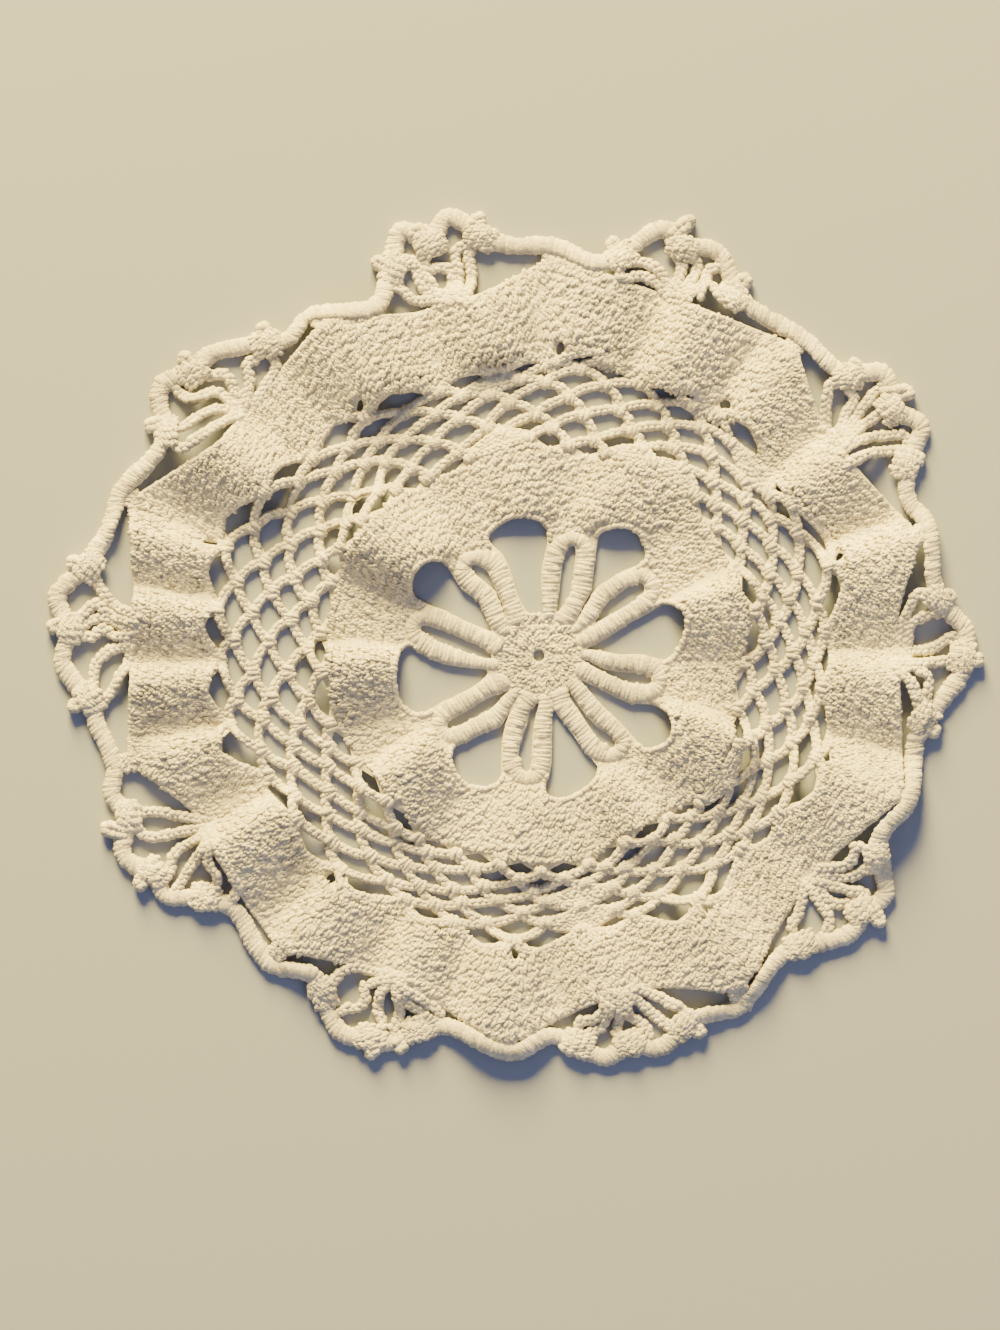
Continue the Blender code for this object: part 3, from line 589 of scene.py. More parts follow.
# The knots of the net, as degrees and mm from the hub: eight rounds of thirty, the first on the
# inner band, the last on the outer one, and each set half an arch on from the one before it
NET_KNOTS = (
    ((11.8, 73.1), (23.8, 72.6), (36.2, 73.0), (45.8, 74.3), (60.0, 74.4), (72.0, 70.7),
     (82.1, 70.7), (92.5, 72.5), (109.3, 70.0), (122.1, 69.6), (130.8, 72.7), (142.3, 74.2),
     (151.7, 74.8), (160.7, 73.4), (174.0, 73.0), (184.1, 72.3), (198.2, 73.1), (210.4, 70.4),
     (223.5, 69.7), (236.5, 72.5), (247.3, 71.1), (259.2, 70.5), (270.3, 71.6), (283.2, 71.3),
     (295.0, 68.4), (308.4, 68.8), (318.0, 72.3), (335.6, 72.4), (345.1, 68.3), (358.3, 68.9)),
    ((3.8, 75.3), (15.5, 76.6), (28.9, 75.9), (40.5, 77.0), (52.4, 78.7), (63.8, 77.0),
     (75.7, 73.8), (87.0, 75.8), (99.9, 75.3), (111.7, 72.7), (124.4, 75.2), (134.1, 76.2),
     (145.3, 77.3), (156.1, 78.7), (166.6, 77.5), (178.1, 76.6), (190.9, 77.5), (203.6, 75.8),
     (216.3, 73.3), (230.0, 74.2), (240.3, 74.7), (253.0, 73.7), (265.2, 74.4), (276.3, 74.2),
     (287.9, 73.3), (301.9, 71.6), (313.6, 73.6), (326.1, 76.1), (338.9, 74.7), (351.3, 71.9)),
    ((8.2, 80.4), (19.9, 81.0), (33.8, 81.0), (45.2, 81.7), (57.2, 82.4), (68.2, 80.6),
     (80.0, 81.2), (91.0, 80.2), (102.9, 77.6), (116.3, 78.8), (128.4, 81.6), (139.6, 81.2),
     (150.1, 83.6), (162.3, 85.2), (171.5, 83.1), (183.7, 83.6), (195.7, 82.6), (207.8, 78.9),
     (221.1, 78.5), (232.8, 78.2), (244.0, 78.4), (256.2, 78.7), (268.7, 78.3), (281.5, 77.2),
     (292.3, 76.2), (306.4, 76.0), (319.0, 78.9), (333.4, 79.7), (343.8, 78.8), (356.5, 78.5)),
    ((1.0, 84.3), (13.0, 85.2), (25.5, 85.5), (37.3, 85.8), (49.8, 87.7), (60.9, 87.4),
     (71.9, 86.1), (83.5, 86.5), (96.8, 84.7), (108.9, 82.9), (122.3, 84.5), (132.1, 86.0),
     (144.3, 88.0), (155.9, 90.5), (166.5, 91.1), (176.9, 89.8), (189.0, 89.8), (200.3, 86.3),
     (212.9, 82.9), (224.4, 82.6), (237.5, 82.3), (249.9, 82.7), (260.5, 82.4), (271.5, 81.5),
     (287.7, 80.6), (298.4, 80.7), (311.0, 81.7), (324.2, 83.3), (335.9, 83.4), (348.1, 84.0)),
    ((5.4, 89.0), (18.1, 90.1), (30.9, 89.5), (40.8, 89.8), (54.6, 92.9), (65.0, 92.3),
     (76.4, 92.6), (88.8, 90.9), (101.0, 88.2), (113.2, 87.2), (126.7, 88.9), (137.8, 91.0),
     (149.9, 95.5), (161.1, 96.6), (171.7, 96.1), (183.5, 94.9), (192.8, 94.0), (204.2, 89.3),
     (216.9, 87.4), (229.9, 86.9), (242.7, 85.9), (252.7, 86.0), (266.3, 85.3), (279.4, 84.2),
     (291.8, 84.6), (304.0, 85.2), (316.9, 86.6), (328.0, 87.5), (341.2, 88.8), (353.2, 88.4)),
    ((-1.5, 91.4), (10.8, 93.9), (25.6, 95.1), (34.7, 93.1), (48.5, 95.5), (59.0, 97.4),
     (69.7, 96.4), (81.9, 96.6), (93.8, 92.3), (107.0, 90.2), (119.0, 92.2), (132.0, 93.6),
     (144.0, 98.2), (155.5, 103.8), (166.2, 103.2), (177.0, 101.5), (188.0, 101.4), (198.6, 97.5),
     (209.7, 93.2), (222.0, 92.4), (235.9, 90.2), (247.1, 89.5), (258.9, 90.6), (271.5, 88.9),
     (287.0, 87.9), (296.8, 89.4), (310.0, 90.4), (320.8, 90.5), (333.7, 93.0), (347.0, 92.5)),
    ((4.9, 95.4), (17.9, 100.3), (31.4, 97.4), (39.1, 97.2), (53.5, 99.9), (60.3, 102.3),
     (77.0, 100.3), (87.3, 97.7), (98.2, 94.4), (110.8, 94.1), (126.2, 97.5), (138.9, 99.7),
     (149.1, 105.7), (160.8, 110.1), (171.7, 107.8), (180.5, 105.9), (192.3, 105.3), (203.6, 98.5),
     (214.0, 96.7), (226.9, 96.8), (241.1, 92.4), (252.2, 92.7), (265.1, 94.8), (278.8, 91.5),
     (290.3, 91.7), (303.3, 96.0), (316.0, 92.9), (326.8, 95.0), (340.2, 97.7), (353.7, 94.4)),
    ((-0.3, 97.9), (12.6, 104.2), (22.4, 103.9), (34.5, 99.1), (47.3, 104.4), (57.0, 101.3),
     (67.8, 102.5), (80.4, 102.6), (92.1, 98.8), (105.0, 97.7), (119.6, 101.3), (131.4, 103.9),
     (143.7, 107.5), (156.2, 115.3), (165.2, 115.1), (174.8, 113.2), (186.1, 111.9), (196.7, 111.7),
     (206.7, 101.7), (220.0, 102.3), (232.3, 100.3), (245.4, 96.3), (258.7, 99.0), (270.0, 98.6),
     (284.9, 94.5), (297.6, 100.9), (307.7, 100.4), (321.3, 98.7), (333.9, 103.1), (345.5, 100.5)),
)
BELOW_NET = 2.1  # mm from the first knots in to the inner band's edge


def net_edge(round_no, deg):
    """Radius of a round of the net's knots at any angle, read smoothly from knot to knot."""
    knots = NET_KNOTS[round_no]
    place = (deg - knots[0][0]) % 360.0 + knots[0][0]
    for (near_deg, near_r), (far_deg, far_r) in zip(knots, knots[1:] + knots[:1]):
        far_deg += 360.0 if far_deg < near_deg else 0.0
        if near_deg <= place <= far_deg:
            ease = 0.5 - 0.5 * math.cos(math.pi * (place - near_deg) / (far_deg - near_deg))
            return near_r * (1.0 - ease) + far_r * ease
    return knots[0][1]


def inner_edge(deg):
    """Radius of the inner band's outer edge."""
    return net_edge(0, deg) - BELOW_NET


def widened(outline, room):
    """A closed outline drawn larger by a room, if it runs clockwise."""
    moved = []
    for index, point in enumerate(outline):
        along = outline[(index + 1) % len(outline)] - outline[index - 1]
        moved.append(point + Vector((-along.y, along.x)).normalized() * room)
    return moved


def inside(point, outline):
    """Whether a point lies inside a closed outline."""
    within = False
    for a, b in zip(outline, outline[1:] + outline[:1]):
        if (a.y > point.y) != (b.y > point.y):
            if point.x < (b.x - a.x) * (point.y - a.y) / (b.y - a.y) + a.x:
                within = not within
    return within


PETAL_ROOMS = [widened(rounded(gap), PETAL_ROOM) for gap in PETAL_GAPS]
BAR_PLACES = [step.point for index in range(len(SLOTS)) for step in petal_row(index)]


def clear_of_petals(point):
    """Whether a stitch of the inner band has room here, beside the petals and their gaps."""
    if any(inside(point, room) for room in PETAL_ROOMS):
        return False
    return all((point - place).length > BAR_HALF - BAR_OVERLAP for place in BAR_PLACES)


def open_runs(row, clear):
    """Cuts a closed row into the runs of its steps that are clear."""
    flags = [clear(step.point) for step in row]
    if all(flags):
        return [row + row[:1]]
    start = flags.index(False)
    runs, run = [], []
    for index in range(start, start + len(row) + 1):
        if flags[index % len(row)]:
            run.append(row[index % len(row)])
        else:
            if len(run) > 1:
                runs.append(run)
            run = []
    return runs


def band_rounds(rounds, ends, clear):
    """The rounds of a band, each as its runs of clear steps; ends gives two radii at an angle."""
    def one_round(share):
        def radius_at(deg):
            start, end = ends(deg)
            return start + (end - start) * share

        def wide_at(deg):
            start, end = ends(deg)
            return (end - start) / (rounds - 1) / ROUND_DRAWN

        return ring_row(radius_at, BAND_THICK / 2, 1.0, wide_at, ROUND_DRIFT)

    return [open_runs(one_round(round_no / (rounds - 1)), clear) for round_no in range(rounds)]


inner_rounds = band_rounds(INNER_ROUNDS, lambda deg: (INNER_START, inner_edge(deg) - EDGE_ROOM),
                           clear_of_petals)
inner_band = crochet("inner_band_rounds", sum(inner_rounds, []), single_crochet, STITCH_PITCH,
                     astray=0.5, seed=31, **BY_HAND)

# --------------------------------------------------------------------------------------------
# The joining chains. Round the outer end of every gap between two petals the inner band ends
# in a plumper chain, over which the petals are caught to it.

RIM_DEPTH = 9.0  # how far in from a gap's outer end its chain begins
RIM_RISE, RIM_WIDE, RIM_HIGH = 0.2, 1.3, 1.25
RIM_STEPS = 3
RIM_PITCH = 1.5

rim_rows = []
for gap in PETAL_GAPS:
    rim = widened(rounded(gap, RIM_STEPS), EDGE_ROOM)
    end_r = max(point.length for point in rim) - RIM_DEPTH
    rim_rows.append([Step(point, BAND_THICK / 2 + RIM_RISE, RIM_WIDE, RIM_HIGH) for point in rim
                     if point.length > end_r])
rims = crochet("joining_chains", rim_rows, thread_ring, RIM_PITCH, turn_deg=8.0, swell=0.12,
               astray=0.15, seed=35)

# --------------------------------------------------------------------------------------------
# The net. Seven rounds of thirty chain arches, each arch caught to the top of the one below by
# a single crochet, which shows as a small thick knot.

NET_THICK = 2.2
NET_ROWS, NET_LOOPS = len(NET_KNOTS) - 1, len(NET_KNOTS[0])
LINK_PITCH = 2.1
ARCH_POWER = 1.5  # the arch is a little rounder than a straight-sided gable
ARCH_STEPS = 12
KNOT_HALF = 0.4  # half the length of a knot's row, which holds two stitches, one at each end
KNOT_PITCH = 5.0
KNOT_RISE = 0.15  # how far a knot stands out over its chain

# Meshes of the net, as round and loop, that are pulled shut: more chains lie across them, at
# these shares of their height
SHUT = {(0, 4), (0, 5), (0, 8), (0, 27), (3, 23), (5, 3), (5, 8), (5, 23), (6, 6)}
SHUT_HEIGHTS = (0.0, 0.35, 0.7)


def net_knot(row, loop):
    """A knot of the net: row 0 is on the inner band, row NET_ROWS is on the outer one."""
    return polar(*NET_KNOTS[row][loop % NET_LOOPS])


def arch_points(row, loop, height=1.0):
    """The middle line of a chain arch, from knot to knot over the next row's knot."""
    shift = 1 if row % 2 else 0
    left, right = net_knot(row, loop + shift), net_knot(row, loop + shift - 1)
    middle, across = (left + right) / 2, (left - right) / 2
    up = (net_knot(row + 1, loop) - middle) * height
    points = []
    for index in range(ARCH_STEPS + 1):
        angle = math.pi * index / ARCH_STEPS
        out = math.copysign(abs(math.cos(angle)) ** (2 / ARCH_POWER), math.cos(angle))
        points.append(middle + across * out + up * math.sin(angle) ** (2 / ARCH_POWER))
    return points


chain_link = stitch_shape("chain_link", [
    Strand((0.5, 0.52, 0.0), (1.9, 1.16, 1.1), -14.0, 0.0, 6, 3),
    Strand((-0.5, -0.52, 0.0), (1.9, 1.16, 1.1), 14.0, 0.0, 6, 3),
])
net_rows = [[Step(point, NET_THICK / 2) for point in arch_points(row, loop)]
            for row in range(NET_ROWS) for loop in range(NET_LOOPS)]
net_rows += [[Step(point, NET_THICK / 2) for point in arch_points(*mesh, height)]
             for mesh in sorted(SHUT) for height in SHUT_HEIGHTS]
net = crochet("net_chains", net_rows, chain_link, LINK_PITCH, turn_deg=9.0, swell=0.1, seed=41)

knot_stitch = stitch_shape("knot_stitch", [
    Strand((0.95, 0.1, 0.35), (2.3, 1.15, 1.05), 80.0, 0.0, 6, 3),
    Strand((-0.95, 0.1, 0.25), (2.3, 1.15, 1.05), 100.0, 0.0, 6, 3),
])


def knot_row(knot):
    """The short row of one knot, square to the way out from the hub."""
    along = Vector((knot.y, -knot.x)).normalized() * KNOT_HALF
    return [Step(place, NET_THICK / 2 + KNOT_RISE) for place in (knot - along, knot + along)]


knot_rows = [knot_row(net_knot(row, loop)) for row in range(NET_ROWS)
             for loop in range(NET_LOOPS)]
knots = crochet("net_knots", knot_rows, knot_stitch, KNOT_PITCH, turn_deg=14.0, swell=0.12,
                astray=0.3, seed=51)

# --------------------------------------------------------------------------------------------
# The outer band. Fourteen rounds of single crochet between the net and the fans. Its edge is
# round at the foot of each fan and runs out to a point between two fans.

OUTER_ROUNDS = 14
BAND_START = -3.4  # mm from the net's outermost knots, between the arches
BAND_END = -1.6  # mm from the band's edge, which a chain goes round
NET_REACH = 9.0  # mm out from those knots within which a stitch may meet an arch or a hole
HOLE_ROOM = 1.2  # from a gap's or small hole's edge to the middle of the stitches round it
BAND_EDGE_FLAT = 0.25  # share of the way from a fan's middle to a point where the edge is round
BAND_EDGE_POWER = 1.4

# A scallop's cord, fan by fan: from a dip up to a side knot, over an arch to the top knot, over
# a second arch to the other side knot, down to a dip and on to the band's next point. Each place
# is the middle of the cord, as degrees and mm from the hub; foot and point are the band's edge.
Fan = namedtuple(
    "Fan",
    "deg foot_r dip_deg dip_r knot_deg knot_r arch_deg arch_r top_deg top_r "
    "arch2_deg arch2_r knot2_deg knot2_r dip2_deg dip2_r point_deg point_r cord_deg cord_r",
)
FANS = (
    Fan(2.0, 120.0, -13.5, 128.5, -9.5, 130.5, -3.0, 140.0, -0.2, 141.5, 3.5, 142.0, 8.0, 134.5,
        11.5, 133.5, 17.5, 133.0, 18.3, 136.5),
    Fan(36.0, 122.5, 23.0, 133.5, 27.5, 138.5, 31.0, 148.5, 35.0, 144.0, 39.2, 148.5, 42.3, 139.5,
        45.0, 137.0, 50.5, 134.0, 50.5, 137.5),
    Fan(69.5, 127.5, 57.0, 135.5, 61.3, 137.5, 66.0, 147.0, 70.5, 145.0, 74.0, 148.0, 78.5, 136.5,
        82.0, 132.0, 88.0, 133.0, 88.0, 136.5),
    Fan(104.8, 121.5, 94.0, 137.0, 97.7, 141.5, 101.7, 149.5, 104.8, 142.6, 108.0, 149.0, 110.9,
        138.5, 115.5, 128.0, 122.5, 132.5, 123.5, 136.5),
    Fan(140.8, 127.5, 128.0, 134.5, 131.0, 138.5, 137.0, 148.0, 140.5, 149.5, 144.7, 154.5, 149.0,
        145.5, 152.3, 144.0, 159.0, 146.0, 158.5, 149.5),
    Fan(177.5, 136.0, 163.5, 149.5, 168.5, 153.5, 172.8, 161.5, 176.7, 157.0, 181.0, 158.5, 185.5,
        151.0, 189.5, 148.5, 194.5, 141.5, 194.5, 146.0),
    Fan(208.3, 126.5, 198.0, 149.5, 201.3, 147.5, 205.7, 153.5, 209.5, 147.5, 212.8, 147.5, 216.0,
        137.5, 220.0, 132.0, 228.5, 130.5, 228.5, 136.0),
    Fan(245.0, 119.5, 234.5, 130.0, 237.2, 134.0, 242.0, 141.5, 246.2, 139.5, 249.0, 138.0, 252.3,
        131.0, 257.0, 127.0, 265.0, 130.0, 265.5, 132.5),
    Fan(284.8, 117.0, 271.5, 126.5, 275.5, 130.5, 279.3, 135.5, 283.2, 133.0, 287.0, 136.5, 291.5,
        133.0, 294.5, 131.5, 301.0, 130.5, 300.0, 134.5),
    Fan(321.3, 118.5, 308.0, 128.5, 312.0, 130.5, 317.8, 138.5, 321.7, 137.5, 325.5, 140.0, 329.3,
        131.5, 332.5, 128.0, 339.0, 129.5, 339.0, 132.0),
)


def band_edge(fan_index, deg):
    """Radius of the outer band's edge beside a fan: round at its foot, then out to a point."""
    fan = FANS[fan_index % len(FANS)]
    point = fan if deg > fan.deg else FANS[fan_index - 1]
    point_deg = point.point_deg - (360.0 if point.point_deg > deg + 180.0 else 0.0)
    way = abs(deg - fan.deg) / abs(point_deg - fan.deg)
    rise = max(0.0, (way - BAND_EDGE_FLAT) / (1.0 - BAND_EDGE_FLAT)) ** BAND_EDGE_POWER
    return fan.foot_r + (point.point_r - fan.foot_r) * rise


def band_edge_all(deg):
    """The same radius at any angle from 0 to 360."""
    for index, fan in enumerate(FANS):
        if deg <= fan.point_deg:
            return band_edge(index, deg)
    return band_edge(0, deg - 360.0)


# Small holes at the band's inner edge, where two arches meet it: the middle, the way that the
# hole points, its length and its width
Slit = namedtuple("Slit", "deg r turn_deg length width")
SLITS = (
    Slit(18.3, 104.3, 30, 4.4, 2.2), Slit(53.4, 104.0, 125, 3.8, 3.6),
    Slit(86.0, 102.5, 78, 4.8, 2.8), Slit(126.0, 101.0, 88, 6.8, 2.4),
    Slit(161.0, 115.0, 172, 7.0, 0.8), Slit(192.7, 107.8, 42, 4.8, 2.6),
    Slit(227.0, 101.2, 28, 4.2, 2.8), Slit(265.4, 98.8, 92, 4.6, 2.4),
    Slit(303.5, 99.5, 112, 5.6, 1.1), Slit(340.5, 100.4, 110, 4.6, 3.8),
)
SLIT_SIDES = 10


def slit_outline(slit, room=0.0):
    """The outline of one small hole, drawn larger by a room."""
    ahead = polar(slit.turn_deg, 1.0)
    side = Vector((-ahead.y, ahead.x))
    turns = (2 * math.pi * index / SLIT_SIDES for index in range(SLIT_SIDES))
    return [polar(slit.deg, slit.r) + ahead * (slit.length / 2 + room) * math.cos(turn)
            + side * (slit.width / 2 + room) * math.sin(turn) for turn in turns]


GROUND_CHAIN = 2.4  # width of the chains in the ground under them
LEAST_GAP = 0.3  # a gap's size never falls under this share of its mesh
GAP_FOOT = 0.9  # how far the gap's lower corner reaches, as a share of its way
GAP_SHOULDER = (0.6, 0.7)  # where the gap turns in to its top: shares out and up


def net_gap(row, loop):
    """One gap of the net: round at the top, under its chain arch, and pointed at the bottom."""
    shift = 1 if row % 2 else 0
    left, right = net_knot(row, loop + shift), net_knot(row, loop + shift - 1)
    top = net_knot(row + 1, loop)
    if row:
        bottom = net_knot(row - 1, loop)
    else:
        bottom = (left + right) / 2
        bottom -= bottom.normalized() * (BELOW_NET + GROUND_CHAIN / 2)
    middle = (left + right + top + bottom) / 4
    wide, high = (left - right).length / 2, (top - bottom).length / 2
    keep = max(LEAST_GAP, 1.0 - GROUND_CHAIN / 2 * math.hypot(wide, high) / (wide * high))
    left_side, right_side = (left - middle) * keep, (right - middle) * keep
    crown, (out, up) = (top - middle) * keep, GAP_SHOULDER
    return [middle + left_side * out + crown * up, middle + crown,
            middle + right_side * out + crown * up, middle + right_side,
            middle + (bottom - middle) * keep * GAP_FOOT, middle + left_side]


OUTERMOST_GAPS = [widened(net_gap(NET_ROWS - 1, loop), HOLE_ROOM) for loop in range(NET_LOOPS)
                  if (NET_ROWS - 1, loop) not in SHUT]
SLIT_ROOMS = [slit_outline(slit, HOLE_ROOM) for slit in SLITS]


def clear_of_net(point):
    """Whether a stitch of the outer band has room here, beside the arches and small holes."""
    near = net_edge(NET_ROWS, degrees_of(point)) + NET_REACH
    return point.length > near or not any(
        inside(point, room) for room in OUTERMOST_GAPS + SLIT_ROOMS)


outer_rounds = band_rounds(
    OUTER_ROUNDS,
    lambda deg: (net_edge(NET_ROWS, deg) + BAND_START, band_edge_all(deg) + BAND_END),
    clear_of_net)
half_way = OUTER_ROUNDS // 2
outer_band = [
    crochet("outer_band_" + name, sum(rounds, []), single_crochet, STITCH_PITCH, astray=0.5,
            seed=seed, **BY_HAND)
    for name, rounds, seed in (("inner_rounds", outer_rounds[:half_way], 61),
                               ("outer_rounds", outer_rounds[half_way:], 71))
]

# --------------------------------------------------------------------------------------------
# The chain along the band's edge. The last round is slip-stitched off into a thicker chain, so
# the band ends in a smooth line beside the fans' open spaces.

EDGE_CHAIN_WIDE = 1.1
EDGE_CHAIN_PITCH = 1.5

band_rim = crochet("band_edge_chain", [
    ring_row(lambda deg: band_edge_all(deg) - EDGE_ROOM, BAND_THICK / 2, 1.0,
             lambda deg: EDGE_CHAIN_WIDE)
], thread_ring, EDGE_CHAIN_PITCH, closed=True, turn_deg=10.0, swell=0.14, astray=0.2, seed=75)

# --------------------------------------------------------------------------------------------
# The fans. Six legs of chain rise from one place on the band to the cord, a pair for each of
# the three knots; they are longer than their way, so they bow and lean as they like.

LEG_ROOT = 2.5  # how far a leg's ends are worked into the band and round the cord
LEG_STEPS = 4
LEG_RISE = 0.1
LEG_OVER = 0.3  # every second leg lies over its neighbours
LEG_WIDE, LEG_HIGH = 1.18, 1.2
LEG_PITCH = 2.0
LEGS_IN_FAN = 6

